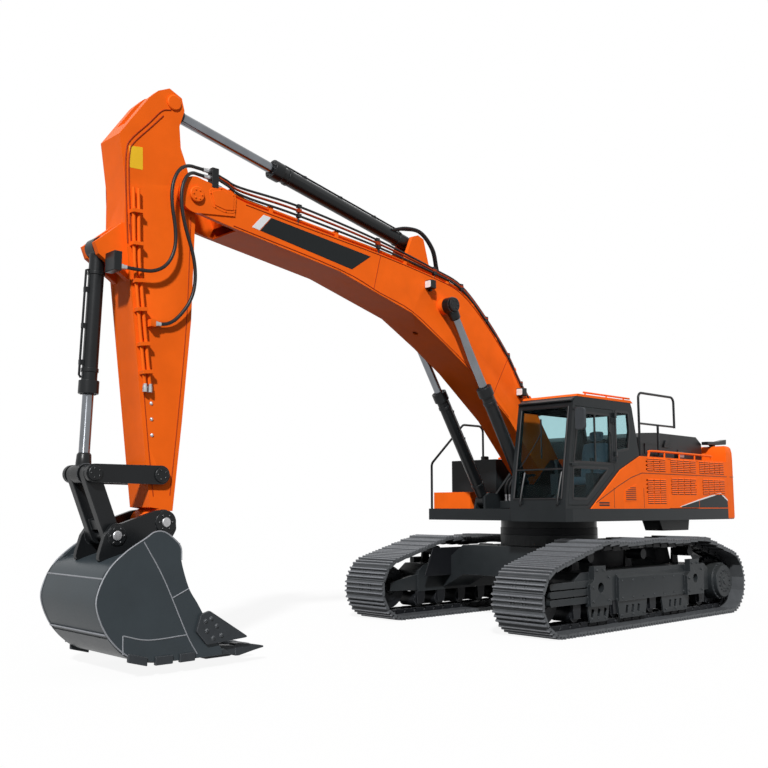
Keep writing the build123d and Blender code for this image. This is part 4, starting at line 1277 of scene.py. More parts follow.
    def seams(self) -> None:
        """Dark strips of painted shade in the seams' gaps, and the blank plates low on the sides."""
        low = self.seam_z - self.seam_half
        high = self.seam_z + self.seam_half
        for name, sign in SIDES:
            door = "bay_door_" + name
            # Name, body, rear X and front X.
            spans = (
                ("front", self.body, -1050, -290),
                ("door", door, -1984, -1056),
                ("rear", self.body, -2956, -1994),
            )
            # The seam bars are dark strips of painted shade in the gaps.
            for what, body, rear, front in spans:
                bar = oblong(rear, low, front, high)
                self.strip("seam_" + what + "_" + name, body, bar, sign, DARK_PLATE_AND_PAINTED_SHADE, self.seam_proud)
            # Name, body, outline, finish and how far it stands proud.
            plates = (
                ("plate_door_", door, self.door_plate, DARK_PLATE_AND_PAINTED_SHADE, 3),
                ("plate_rear_", self.body, self.rear_plate, DARK_PLATE_AND_PAINTED_SHADE, 3),
                ("plate_door_edge_", door, self.door_edge, PALE, 3.5),
                ("plate_rear_edge_", self.body, self.rear_edge, PALE, 3.5),
            )
            for what, body, outline, finish, proud in plates:
                self.strip(what + name, body, outline, sign, finish, proud)

    def front_panel(self) -> None:
        """Seam and vents on the tapering panel beside the cab and slots below it; the seams and slots are
        dark strips of painted shade.
        """
        seam = list(self.taper_seam) + [(x + 4, z + 10) for x, z in self.taper_seam[::-1]]
        # Dark strip of painted shade in the seam's gap.
        self.strip("seam_taper", self.body, seam, 1, DARK_PLATE_AND_PAINTED_SHADE, self.seam_proud)
        self.strip("vent_patch", self.body, self.vent_patch, 1, ORANGE, self.vent_proud)
        slots = []
        for k, z in enumerate(self.rows(*self.vent_rows)):
            wide = self.vent_wide - max(0, k + 1 - self.vent_full_rows) * self.vent_taper
            spot = (self.vent_left + wide / 2, self.half + self.vent_proud, z)
            slots.append(Copy(spot, (0, 1, 0), (wide, 0.8, 1)))
        # Dark strips of painted shade in the vent slots.
        copies_on_spots("vent_slots", self.body, DARK_PLATE_AND_PAINTED_SHADE, self.slot_shade_shape(), slots)
        # Dark strips of painted shade in the side slots and the upright seams.
        left, right = self.side_slot_xs
        for k in range(2):
            low = self.side_slot_z + self.side_slot_step * k
            slot = rounded(oblong(left, low, right, low + self.side_slot_high), 9)
            self.strip("side_slot_%d" % k, self.body, slot, 1, DARK_PLATE_AND_PAINTED_SHADE, 2)
        low, high = self.upright_seam_zs
        for x in self.upright_seam_xs:
            bar = oblong(x, low, x + self.upright_seam_wide, high)
            self.strip("upright_seam_%d" % abs(x), self.body, bar, 1, DARK_PLATE_AND_PAINTED_SHADE, self.seam_proud)

    def walkway(self) -> None:
        """Low rails on the walkway, side lamps and the tread plate."""
        lamp_x, lamp_y, lamp_z = self.walk_lamp
        lens_outline = rounded(oblong(lamp_x - 80, lamp_z - 35, lamp_x + 80, lamp_z + 43), 20)
        for name, sign in SIDES:
            y = sign * self.walk_rail_y
            form = Mould().tube(smooth(at_y(self.walk_rail, y), 5), 17)
            for x in self.walk_posts:
                form.rod((x, y, self.walk_z - 4), (x, y, self.walk_z + 90), 13, 12)
            form.done("walk_rail_" + name, self.body, ORANGE, 0)
            lamp = Mould().box((lamp_x, sign * lamp_y, lamp_z), (190, 80, 120))
            lamp.done("walk_lamp_" + name, self.body, BLACK, 12)
            lens = Mould().plate(lens_outline, sign, lamp_y + 35, lamp_y + 45)
            lens.done("walk_lamp_lens_" + name, self.body, LENS, 3)
            tread = []
            for row in range(self.tread_rows):
                y = sign * (self.tread_inner + self.tread_row * row)
                for k in range(self.tread_studs):
                    x = self.tread_front - self.tread_pitch * (k + row % 2 / 2)
                    tread.append(Copy((x, y, self.walk_z), (0, 0, 1), self.tread_size))
            stud = Mould().lathe((0, 0, -0.2), (0, 0, 1), [(0, 1.0), (0.8, 0.9), (1.0, 0.6)], 8)
            copies_on_spots("walk_tread_" + name, self.body, ORANGE, stud.shape("tread_stud"), tread)

    def hood_trim(self) -> None:
        """Grille ribs, side panels, latches and handles of the hood."""
        stretch = (1, self.rib_length, 1)
        ribs = []
        for k in range(self.rib_count):
            for y in (-self.rib_y, self.rib_y):
                ribs.append(Copy((self.rib_start - self.rib_step * k, y, self.rib_z), (0, 0, 1), stretch))
        rib = Mould().slab(self.rib, Face.SIDE, -0.5, 0.5)
        copies_on_spots("hood_ribs", "hood", BLACK, rib.shape("hood_rib"), ribs)
        for name, sign in SIDES:
            y = sign * self.hood_y
            side = Mould().plate(self.hood_latch, sign, self.hood_y - 6, self.hood_y + 16)
            for low, high in self.hood_pads:
                pad = oblong(*low, *high)
                side.plate(pad, sign, self.hood_y - self.hood_pad_half, self.hood_y + self.hood_pad_half)
            side.tube(smooth([(x, y + sign * out, z) for x, out, z in self.hood_handle], 5), 9)
            side.done("hood_side_trim_" + name, "hood", BLACK, 5)

    def fittings(self) -> None:
        """Valve block, fittings and hose bundle at the foot of the boom."""
        block = Mould()
        for centre, size in self.valve_blocks:
            block.box(centre, size)
        block.done("valve_block", self.body, CHARCOAL, 10)
        port_x, port_y, port_z = self.foot_port
        for name, sign in SIDES:
            ports = Mould()
            tubes = Mould()
            for k in range(4):
                x = port_x - self.foot_step[0] * (k % 2)
                y = sign * (port_y + self.foot_step[1] * k)
                ports.lathe((x, y, port_z), (x, y, port_z + 1), self.foot_fitting, 8)
                route = [(x + dx, y * share, z) for dx, share, z in self.foot_route]
                tubes.tube(smooth(route, 6), 14)
            ports.done("foot_fittings_" + name, self.body, SILVER, 2)
            tubes.done("foot_hoses_" + name, self.body, RUBBER, 0)
        x, y, z = self.filler
        rim = Mould().lathe((x, y, z), (x, y, z + 1), self.filler_form, 24)
        rim.done("filler_cap", self.body, BLACK, 4)

    def weight_plan(self) -> list[Flat]:
        """Outline of the counterweight from its left front corner round its rear to the right."""
        left = list(self.weight_start) + bent(self.weight_corner, 5)
        return left + [(x, -y) for x, y in left[::-1]]

    def weight(self) -> None:
        """Counterweight with a leaning rear and rounded top, and its lifting eyes."""
        plan = self.weight_plan()
        loops = []
        for z, shrink, lean in self.weight_steps:
            loop = []
            for x, y in inset(plan, shrink):
                loop.append(Vector((min(self.weight_front, max(x, self.weight_rear + lean)), y, z)))
            loops.append(loop)
        Mould().loft(loops).done("counterweight_casting", self.body, ORANGE, 0, ("counterweight",))
        eyes = Mould()
        x, z = self.lifting_pin
        half = self.lifting_half
        for y in (-self.lifting_y, self.lifting_y):
            for near in (-half, half - self.lifting_plate):
                eyes.slab(rounded(self.lifting_eye, 30), Face.SIDE, y + near, y + near + self.lifting_plate)
            eyes.lathe((x, y - half, z), (x, y + half, z), [(0, 50), (2 * half, 50)], 24)
        eyes.done("lifting_eyes", self.body, ORANGE, 3)

    def weight_trim(self) -> None:
        """Rear lamps, a dark bead of painted shade along the groove, and camera of the counterweight."""
        x, lamp_y, z = self.rear_lamp
        for name, sign in SIDES:
            y = sign * lamp_y
            Mould().box((x, y, z), (44, 270, 96)).done("rear_lamp_" + name, self.body, BLACK, 8)
            outline = rounded(oblong(y - 112, z - 32, y + 112, z + 32), 16)
            lens = Mould().slab(outline, Face.FRONT, x - 26, x - 21)
            lens.done("rear_lamp_lens_" + name, self.body, LENS, 2)
        # The bead is set 1 mm further out round the rear than along the sides.
        plan = self.weight_plan()[1:-1]
        line = [(x - 1 if x < self.weight_side else x, y, self.seam_z) for x, y in plan]
        # Dark bead of painted shade along the groove.
        Mould().tube(line, 5, 6).done("weight_groove", self.body, DARK_PLATE_AND_PAINTED_SHADE, 0)
        x, y, z = self.rear_camera
        eye = Mould().box((x, y, z), (60, 130, 76)).rod((x - 25, y, z), (x - 39, y, z), 24)
        eye.done("rear_camera", self.body, BLACK, 8)

    def build(self) -> None:
        """Builds the house."""
        self.dress_solids()
        self.weight()
        self.louvres()
        self.seams()
        self.front_panel()
        self.walkway()
        self.hood_trim()
        self.fittings()
        self.weight_trim()


@dataclass
class Cab:
    """Operator's cab with its door, glass, seals and seat.

    Window outlines and the foot and head of the sloping front are in X and Z. The lock plate and the
    mirror's face are given by two corners, rail holds the distance out from the door and Z, and crown
    holds each loop's share of a cushion's half width and its inset.
    """

    body: str = "house"
    door: str = "cab_door"
    side_y: float = 1515
    inner_y: float = 550
    front_foot: Flat = (1636, 1760)
    front_head: Flat = (1400, 3150)
    front_ys: Flat = (620, 1445)
    front_zs: Flat = (1790, 3080)
    front_bar_z: float = 2200
    upper: Outline = ((510, 2300), (1430, 2300), (1273.8, 3010), (510, 3010))
    lower: Outline = ((1130, 1790), (1470, 1790), (1440, 2230), (560, 2230))
    quarter: Outline = ((40, 2530), (360, 2480), (360, 3080), (10, 3080), (-20, 2800))
    right: Outline = ((200, 1990), (1480, 1990), (1323.6, 3070), (60, 3070))
    upper_bar: Spot = (891, 1509, 2655)
    seal_out: float = 14
    seal_wide: float = 34
    wiper_y: float = 1010
    wiper_z: float = 2700
    wiper_arm: Outline = ((700, 2230), (900, 2500))
    grab_bar: Outline = ((1630, 1720), (1665, 1760), (1560, 2130), (1540, 2140))
    grab_bar_ys: Flat = (1400, 760)
    visor: Outline = ((1318, 3226), (1440, 3170), (1436, 3150), (1395, 3150), (1300, 3200))
    visor_ys: Flat = (570, 1505)
    rail_x: float = 545
    rail: Outline = ((0, 2330), (40, 2355), (40, 2720), (0, 2745))
    lock_plate: Outline = ((1340, 2245), (1520, 2290))
    mirror_face: Outline = ((1610, 2760), (1720, 3015))
    mirror_xs: Flat = (1423, 1426)
    base_half: float = 170
    cushion_half: float = 225
    head_rest_half: float = 120
    seat_base: Outline = ((250, 1704), (590, 1704), (560, 1990), (280, 1990))
    cushion: Outline = ((190, 2010), (690, 2000), (710, 2070), (660, 2120), (250, 2110))
    backrest: Outline = ((190, 2120), (300, 2110), (240, 2500), (190, 2640), (100, 2640), (120, 2480))
    head_rest: Outline = ((110, 2670), (185, 2670), (170, 2815), (95, 2815))
    crown: Outline = ((-1, 26), (-0.82, 5), (-0.4, 0), (0, -3), (0.4, 0), (0.82, 5), (1, 26))

    def front_x(self, z: float) -> float:
        """X of the sloping front face at a height."""
        slope = (self.front_head[0] - self.front_foot[0]) / (self.front_head[1] - self.front_foot[1])
        return self.front_foot[0] + (z - self.front_foot[1]) * slope

    def seals(self) -> None:
        """Rubber seals around the windows, with the bar of the upper door window and of the windscreen."""
        y = self.side_y
        # Name, body, outline, nearer and farther Y.
        windows = (
            ("upper", self.door, self.upper, y - 22, y + 5),
            ("lower", self.door, self.lower, y - 22, y + 5),
            ("quarter", self.body, self.quarter, y - 22, y + 5),
            ("right", self.body, self.right, self.inner_y - 5, self.inner_y + 22),
        )
        for name, body, outline, near, far in windows:
            rim = rounded(inset(outline, -self.seal_out), 45)
            form = Mould().ring(rim, self.seal_wide, near, far)
            if name == "upper":
                form.box(self.upper_bar, (26, 20, 716))
            form.done("seal_" + name, body, RUBBER, 3)
        near, far = self.front_ys
        low, high = self.front_zs
        corners = [(self.front_x(z) + 2, y, z) for y, z in oblong(near, low, far, high)]
        form = Mould()
        for a, b in zip(corners, corners[1:] + corners[:1]):
            form.rod(a, b, 15, 10)
        bar = [(self.front_x(self.front_bar_z) + 2, y, self.front_bar_z) for y in self.front_ys]
        form.rod(*bar, 14, 10)
        form.done("seal_front", self.body, RUBBER, 0)

    def front_trim(self) -> None:
        """Wiper, grab bars and visor of the front."""
        arm = [(self.front_x(z) + 30, y, z) for y, z in self.wiper_arm]
        x = self.front_x(self.wiper_z)
        wiper = Mould().tube(arm + [(x + 24, self.wiper_y, self.wiper_z)], 8)
        wiper.box((x + 4, self.wiper_y, self.wiper_z - 60), (18, 18, 560))
        wiper.done("wiper", self.body, RUBBER, 2)
        bars = Mould()
        for y in self.grab_bar_ys:
            bars.tube(smooth(at_y(self.grab_bar, y), 5), 15)
        bars.done("front_grab_bars", self.body, BLACK, 0)
        visor = Mould().slab(self.visor, Face.SIDE, *self.visor_ys)
        visor.done("roof_visor", self.body, CHARCOAL, 8)

    def door_trim(self) -> None:
        """Grab rail and lock plate of the door, and the mirror's face."""
        y = self.side_y
        rail = Mould().tube(smooth([(self.rail_x, y + out, z) for out, z in self.rail], 5), 12)
        rail.done("door_grab_rail", self.door, BLACK, 0)
        outline = rounded(oblong(*self.lock_plate[0], *self.lock_plate[1]), 20)
        plate = Mould().slab(outline, Face.SIDE, y, y + 8)
        plate.done("door_lock_plate", self.door, BLACK, 2)
        outline = rounded(oblong(*self.mirror_face[0], *self.mirror_face[1]), 26)
        face = Mould().slab(outline, Face.FRONT, *self.mirror_xs)
        face.done("mirror_glass", self.body, MIRROR, 1)

    def seat(self) -> None:
        """Seat cushions, head rest and base; the cushions are crowned by subdivision."""
        y = (self.inner_y + self.side_y) / 2
        base = Mould().slab(rounded(self.seat_base, 30), Face.SIDE, y - self.base_half, y + self.base_half)
        base.done("seat_base", self.body, PLASTIC, 10, ("operator_seat",))
        cushions = (
            ("seat_cushion", self.cushion, self.cushion_half),
            ("seat_back", self.backrest, self.cushion_half),
            ("seat_head_rest", self.head_rest, self.head_rest_half),
        )
        for name, outline, wide in cushions:
            loops = []
            for share, shrink in self.crown:
                loop = inset(rounded(outline, 40, 3), shrink)
                loops.append([Vector((u, y + share * wide, v)) for u, v in loop])
            piece = Mould().loft(loops).done(name, self.body, FABRIC, 0)
            soft = piece.modifiers.new("crown", "SUBSURF")
            soft.levels = 2
            soft.render_levels = 2

    def build(self) -> None:
        """Builds the cab."""
        # Solid, body, finish and width of its rounded edges.
        solids = (
            ("cab_shell", self.body, CHARCOAL, 12),
            ("cab_door", self.door, CHARCOAL, 7),
            ("cab_roof", self.body, ORANGE, 12),
            ("mirror", self.body, PLASTIC, 10),
            ("cab_glass", self.body, GLASS, 0),
            ("door_glass", self.door, GLASS, 0),
            ("cab_controls", self.body, PLASTIC, 9),
        )
        for node, body, finish, bevel in solids:
            dress_solid(node, body, finish, bevel)
        self.seals()
        self.front_trim()
        self.door_trim()
        self.seat()


@dataclass
class Boom:
    """Boom with its welds, plates, lamps, pipes and pin caps.

    Lines and outlines are in X and Z. The lines top, crest and low run along the boom, and lines holds
    each fixed line's Y, its share of the way from top to crest and its finish.
    """

    body: str = "boom"
    half: float = 300
    top: Outline = (
        (6140, 5232), (5360, 5155), (3990, 5030), (2920, 4890), (2360, 4755),
        (1830, 4379), (1335, 3902), (1040, 3507), (610, 3080),
    )
    crest: Outline = (
        (6193, 5410), (5321, 5379), (3990, 5215), (2900, 5010), (2325, 4860),
        (1780, 4455), (1285, 3965), (985, 3560), (560, 3120),
    )
    low: Outline = (
        (1325, 2983), (2200, 3640), (2735, 3963), (3370, 4306), (3970, 4467), (4680, 4663), (6310, 4895),
    )
    weld_in: float = 24
    cross_welds: tuple[Outline, ...] = (((3960, 5003), (4080, 4530)), ((1335, 3878), (1700, 3290)))
    plate: Outline = ((4470, 4722), (5930, 4940), (5765, 5130), (4140, 4952))
    plate_edge: Outline = ((5940, 4941), (6050, 4958), (5885, 5143), (5775, 5131))
    lamps: Outline = ((3060, 4740), (1080, 3400))
    lamp_y: float = 360
    nose_plate: Outline = ((6670, 5275), (6492, 5335), (6290, 5282), (6296, 5064), (6441, 5042), (6610, 5072))
    pin_cap: Cap = Cap(27, 7, 10, 10)
    # The middle line is coloured in the darker orange of painted shade.
    lines: tuple[tuple[float, float, Finish], ...] = (
        (292, 0.42, RUBBER), (280, 0.72, ORANGE_PAINTED_SHADE), (266, 1.0, RUBBER),
    )
    union: Outline = ((0, 25), (50, 25), (53, 28), (76, 28))
    union_ys: Spot = (185, 225, 265)
    nose_block: tuple[Spot, Spot] = ((6580, 270, 5425), (90, 102, 240))
    hose_ys: Flat = (60, 100)

    def caps(self) -> None:
        """Caps and bolts over the pins."""
        for name, sign in SIDES:
            # Name, body, pin, distance from the middle, radius and finish.
            pins = (
                ("tip_", self.body, PINS.boom_tip, 330, 92, ORANGE),
                ("lift_", "lift_rod_" + name, PINS.lift_pin, 516, 100, BLACK),
            )
            for what, body, pin, y, radius, finish in pins:
                form = Mould().cap(pin, sign, y - 8, radius, self.pin_cap)
                form.done("pin_cap_" + what + name, body, finish, 2)
                ring = bolt_ring((pin[0], sign * (y + 19), pin[1]), radius * 0.6, 6)
                bolts("pin_cap_bolts_" + what + name, body, finish, ring, (0, sign, 0), 10)

    def welds(self) -> None:
        """Beads along the edges of the side plates and across the joints, in the darker orange of painted
        shade.
        """
        for name, sign in SIDES:
            y = sign * (self.half + 1)
            form = Mould()
            for line, shift in ((self.top, -self.weld_in), (self.low, self.weld_in)):
                form.tube(smooth([(x, y, z + shift) for x, z in line], 4), 6, 6)
            for (xa, za), (xb, zb) in self.cross_welds:
                middle = ((xa + xb) / 2, (za + zb) / 2)
                form.tube(at_y(((xa, za), middle, (xb, zb)), y), 4.5, 6)
            form.done("boom_welds_" + name, self.body, ORANGE_PAINTED_SHADE, 0)

    def plates(self) -> None:
        """Blank plate with a pale edge on each side, and the lamps."""
        for name, sign in SIDES:
            pair = (("boom_plate_", self.plate, DARK_PLATE_AND_PAINTED_SHADE), ("boom_plate_edge_", self.plate_edge, PALE))
            for what, outline, finish in pair:
                form = Mould().plate(outline, sign, self.half - 1, self.half + 3)
                form.done(what + name, self.body, finish, 1)
        y = self.lamp_y
        for k, (x, z) in enumerate(self.lamps):
            lamp = Mould().box((x, y, z), (104, 124, 122)).box((x - 30, y - 40, z - 66), (40, 60, 40))
            lamp.done("boom_lamp_%d" % k, self.body, BLACK, 12)
            outline = rounded(oblong(y - 52, z - 48, y + 52, z + 48), 18)
            lens = Mould().slab(outline, Face.FRONT, x + 50, x + 58)
            lens.done("boom_lamp_lens_%d" % k, self.body, LENS, 2)

    def nose(self) -> None:
        """Bolted plates on both sides of the nose."""
        outline = rounded(self.nose_plate, 50)
        face = self.half + 18
        for name, sign in SIDES:
            form = Mould().plate(outline, sign, self.half - 2, face)
            form.plate(inset(outline, 34), sign, face - 1, face + 8)
            form.done("nose_plate_" + name, self.body, ORANGE, 4)
            spots = at_y(inset(outline, 17)[::5], sign * face)
            bolts("nose_bolts_" + name, self.body, ORANGE, spots, (0, sign, 0), 9)

    def pipes(self) -> None:
        """Dressed pipes, the clamped lines above the boom, unions and the arm cylinder's hoses."""
        dress_solid("boom_pipes", self.body, ORANGE, 2)
        for k, (y, share, finish) in enumerate(self.lines):
            line = [(6548, y, 5385 + 110 * share), (6400, y, 5330 + 125 * share)]
            for (xa, za), (xb, zb) in zip(self.top, self.crest):
                line.append((xa + (xb - xa) * share, y, za + (zb - za) * share))
            form = Mould().tube(smooth(line, 6), 15, 10)
            for spot, (x, z) in zip(line[3:], self.top[1:]):
                form.box(spot, (60, 44, 44))
                form.rod((x, y, z - 20), spot, 10, 8)
            form.done("boom_line_%d" % k, self.body, finish, 2)
        form = Mould()
        for y in self.union_ys:
            form.lathe((6470, y, 5340), (6540, y, 5354), self.union, 8)
        form.done("pipe_unions", self.body, SILVER, 2)
        Mould().box(*self.nose_block).done("nose_block_cover", self.body, BLACK, 8)
        tails = Mould()
        for k, y in enumerate(self.hose_ys):
            route = [(2560, y, 4880), (2640, y, 5080), (2800, y + 70, 5330)]
            route += [(3060, y + 90, 5520), (3330, y + 60, 5520 + 20 * k), (3560, y, 5480)]
            tails.tube(smooth(route, 7), 17)
        tails.done("cylinder_hoses", self.body, RUBBER, 0)

    def build(self) -> None:
        """Builds the boom."""
        dress_solid("boom", self.body, ORANGE, 9)
        self.caps()
        self.welds()
        self.plates()
        self.nose()
        self.pipes()


@dataclass
class Arm:
    """Arm with its border plate, pipes, ports and plates; lines and outlines are in X and Z."""

    body: str = "arm"
    half: float = 215
    border: Outline = (
        (7600, 4480), (7652, 5194), (7655, 5485), (7610, 5630), (7395, 5880), (7240, 6065), (7125, 6110),
    )
    inner: Outline = ((7560, 4480), (7612, 5194), (7614, 5470), (7575, 5600), (7365, 5845), (7220, 6015))
    rear: Outline = ((6830, 4930), (6850, 3745), (6925, 2650), (7000, 1800))
    front: Outline = ((7590, 4690), (7505, 4150), (7300, 2500), (7200, 1790))
    plate: Outline = ((7450, 5328), (7614, 5318), (7624, 5560), (7460, 5584))
    pin_cap: Cap = Cap(30, 8, 12, 12)
    hose_port: Outline = ((0, 26), (40, 26), (42, 33), (78, 33))
    hose_ends: tuple[Spot, ...] = ((7722, 325, 4180), (7262, 262, 3640))
    pipe_port: Outline = ((0, 26), (60, 26), (64, 22), (90, 22))
    pipe_xs: Flat = (7305, 7365)
    pipe_y: float = 260
    pipe_z: float = 2890
    curl_block: tuple[Spot, Spot] = ((7780, 263, 4230), (90, 206, 208))

    def trim(self, name: str, sign: int) -> None:
        """Weld beads in the darker orange of painted shade, bolts and pin cap of one side.

        Args:
            name: side's name.
            sign: side.
        """
        form = Mould()
        # Line, how far it stands proud and radius of the bead.
        beads = ((self.border, 1, 8), (self.inner, 1, 8), (self.rear, -1, 6), (self.front, -1, 6))
        for line, proud, radius in beads:
            form.tube(smooth(at_y(line, sign * (self.half + proud)), 5), radius, 6)
        form.done("arm_welds_" + name, self.body, ORANGE_PAINTED_SHADE, 0)
        spots = [(7270 - 10 * k, sign * self.half, 2950 - 170 * k) for k in range(4)]
        bolts("arm_bolts_" + name, self.body, SILVER, spots, (0, sign, 0), 15)
        cap = Mould().cap(PINS.arm_pin, sign, self.half - 10, 90, self.pin_cap)
        cap.done("arm_pin_cap_" + name, self.body, ORANGE, 2)

    def build(self) -> None:
        """Builds the arm."""
        dress_solid("arm", self.body, ORANGE, 9)
        dress_solid("arm_pipes", self.body, ORANGE, 2)
        for name, sign in SIDES:
            self.trim(name, sign)
        plate = Mould().plate(rounded(self.plate, 12), 1, self.half - 1, self.half + 2)
        plate.done("arm_plate", self.body, YELLOW, 1)
        Mould().box(*self.curl_block).done("curl_block_cover", self.body, BLACK, 8)
        fittings = Mould()
        for x, y, z in self.hose_ends:
            fittings.lathe((x - 60, y, z), (x + 20, y, z), self.hose_port, 8)
        for x in self.pipe_xs:
            foot = (x, self.pipe_y, self.pipe_z)
            fittings.lathe(foot, (x, self.pipe_y, self.pipe_z + 1), self.pipe_port, 8)
        fittings.done("arm_fittings", self.body, SILVER, 2)


@dataclass
class Bucket:
    """Bucket with its curved back, ears, welds, cutters and teeth.

    Outlines are in X and Z; tooth_steps holds X, bottom, top and half width along a tooth.
    """

    body: str = "bucket"
    half: float = 620
    wall: float = 40
    back: Outline = (
        (6560, 130), (7200, 130), (7480, 165), (7690, 250), (7890, 450),
        (8005, 700), (7990, 880), (7880, 1085), (7599, 1198), (7100, 1312),
    )
    opening: Outline = ((6400, 1330), (6400, 130))
    brow: Outline = (
        (7700, 1245), (7500, 1365), (7405, 1424), (7300, 1428), (7190, 1366), (7095, 1269), (7081, 1135),
    )
    mouth: Outline = ((7035, 981), (6971, 826), (6876, 688), (6795, 560), (6560, 185))
    ear: Outline = (
        (7020, 1310), (7599, 1182), (7860, 1100), (7775, 1390), (7690, 1510),
        (7590, 1510), (7200, 1640), (7081, 1655), (6960, 1570), (6945, 1440),
    )
    ear_ys: Flat = (222, 282)
    boss_y: float = 216
    boss_bolt_y: float = 296
    pin_end_y: float = 290
    ear_boss: Cap = Cap(80, 6, 6, 20, 36)
    pin_end: Cap = Cap(20, 6, 8, 10, 24)
    cutter: Outline = ((6850, 570), (6740, 600), (6240, 290), (6770, 255), (6900, 400))
    cutter_bolts: Outline = ((6800, 500), (6730, 520), (6660, 440), (6780, 400), (6600, 340), (6700, 320))
    cutter_out: float = 34
    heels: tuple[Outline, ...] = (
        ((6900, 128), (7080, 126)), ((7160, 126), (7360, 126)), ((7450, 130), (7660, 186)),
    )
    lip: Outline = ((6440, 128), (6900, 128), (6900, 172), (6520, 190))
    side_beads: tuple[Outline, ...] = (
        ((7520, 1330), (7283, 953), (7000, 384), (6869, 173)),
        ((7176, 758), (7080, 800), (6986, 842)),
        ((7719, 428), (7434, 362), (7000, 375)),
        ((7719, 428), (7716, 330), (7711, 248)),
    )
    tooth_ys: tuple[float, ...] = (-500, -250, 0, 250, 500)
    adapter: Outline = (
        (6720, 96), (6720, 212), (6560, 222), (6330, 200), (6250, 175), (6250, 140), (6420, 98),
    )
    adapter_half: float = 58
    tooth_steps: tuple[tuple[float, ...], ...] = (
        (6350, 92, 222, 60), (6300, 90, 224, 62), (6180, 110, 205, 52),
        (6050, 132, 180, 46), (5962, 144, 162, 42),
    )

    def offset(self, curve: list[Flat], depth: float) -> list[Flat]:
        """Part of the back's curve, moved inward by a depth."""
        return inset(curve + list(self.opening), depth)[: len(curve)]

    def shell(self) -> None:
        """Curved back and the two side plates."""
        curve = bent(self.back, 6)
        form = Mould()
        form.slab(curve + self.offset(curve, self.wall)[::-1], Face.SIDE, -self.half + 2, self.half - 2)
        side = curve[:-12] + bent(self.brow + self.mouth[:4], 4) + [self.mouth[4]]
        for _, sign in SIDES:
            form.plate(side, sign, self.half - self.wall, self.half)
        form.done("bucket_shell", self.body, BUCKET, 7, ("bucket",))

    def ears(self) -> None:
        """Ears with their bosses, bolts and pin ends."""
        pins = ((PINS.bucket_pin, 124), (PINS.bucket_link_pin, 104))
        ears = Mould()
        ends = Mould()
        for name, sign in SIDES:
            ears.plate(rounded(self.ear, 70), sign, *self.ear_ys)
            rings = []
            for (x, z), radius in pins:
                ears.cap((x, z), sign, self.boss_y, radius, self.ear_boss)
                ends.cap((x, z), sign, self.pin_end_y, 52, self.pin_end)
                rings += bolt_ring((x, sign * self.boss_bolt_y, z), 78, 6)
            bolts("ear_bolts_" + name, self.body, BLACK, rings, (0, sign, 0), 12)
        x, z = PINS.bucket_link_pin
        reach = self.ear_ys[1]
        ears.rod((x, -reach, z), (x, reach, z), 50)
        ears.done("bucket_ears", self.body, BLACK, 8)
        ends.done("ear_pin_ends", self.body, SILVER, 2)

    def wear_parts(self) -> None:
        """Side cutters, heel blocks, wear plate and the lip."""
        face = self.half + self.cutter_out
        for name, sign in SIDES:
            plate = Mould().plate(rounded(self.cutter, 16), sign, self.half - 10, face)
            plate.done("side_cutter_" + name, self.body, TOOTH, 6)
            spots = at_y(self.cutter_bolts, sign * face)
            bolts("cutter_bolts_" + name, self.body, TOOTH, spots, (0, sign, 0), 18)
            heel = Mould()
            for (xa, za), (xb, zb) in self.heels:
                block = [(xa, za - 18), (xb, zb - 18), (xb, zb + 70), (xa, za + 70)]
                heel.plate(block, sign, self.half - 20, self.half + 22)
            heel.done("heel_blocks_" + name, self.body, TOOTH, 8)
        curve = bent(self.back[1:5], 6)
        outer = self.offset(curve, -14)
        wide = self.half - 24
        skid = Mould().slab(curve[1:-1] + outer[1:-1][::-1], Face.SIDE, -wide, wide)
        skid.done("wear_plate", self.body, BUCKET, 5)
        lip = Mould().slab(self.lip, Face.SIDE, 20 - self.half, self.half - 20)
        lip.done("bucket_lip", self.body, TOOTH, 6)

    def welds(self) -> None:
        """Bright weld beads on the sides and across the back, their brightness partly a painted highlight,
        and a bright bead along each side's rim that is a painted highlight.
        """
        rim = bent(self.back[2:8] + self.brow, 6)
        seam = Mould()
        # X, Z and distance inside the sides of the two beads across the back.
        for x, z, inside in ((7952, 985, 8), (7900, 447, 14)):
            wide = self.half - inside
            seam.tube([(x, -wide, z), (x, 0, z), (x, wide, z)], 9, 6)
        for name, sign in SIDES:
            form = Mould()
            for line in self.side_beads:
                form.tube(smooth(at_y(line, sign * (self.half + 1)), 6), 7, 6)
            form.done("side_welds_" + name, self.body, WELD, 0)
            # Bright bead along the rim of each side plate: a painted highlight.
            seam.tube(at_y(rim, sign * (self.half - 2)), 8, 6)
        seam.done("back_welds", self.body, WELD, 0)

    def teeth(self) -> None:
        """Adapters and pointed teeth along the lip."""
        form = Mould()
        for y in self.tooth_ys:
            form.slab(self.adapter, Face.SIDE, y - self.adapter_half, y + self.adapter_half)
            loops = []
            for x, low, high, wide in self.tooth_steps:
                loops.append([Vector((x, y + u, v)) for u, v in oblong(-wide, low, wide, high)])
            form.loft(loops)
        form.done("teeth_and_adapters", self.body, TOOTH, 7, ("bucket_teeth",))

    def build(self) -> None:
        """Builds the bucket."""
        self.shell()
        self.ears()
        self.wear_parts()
        self.welds()
        self.teeth()


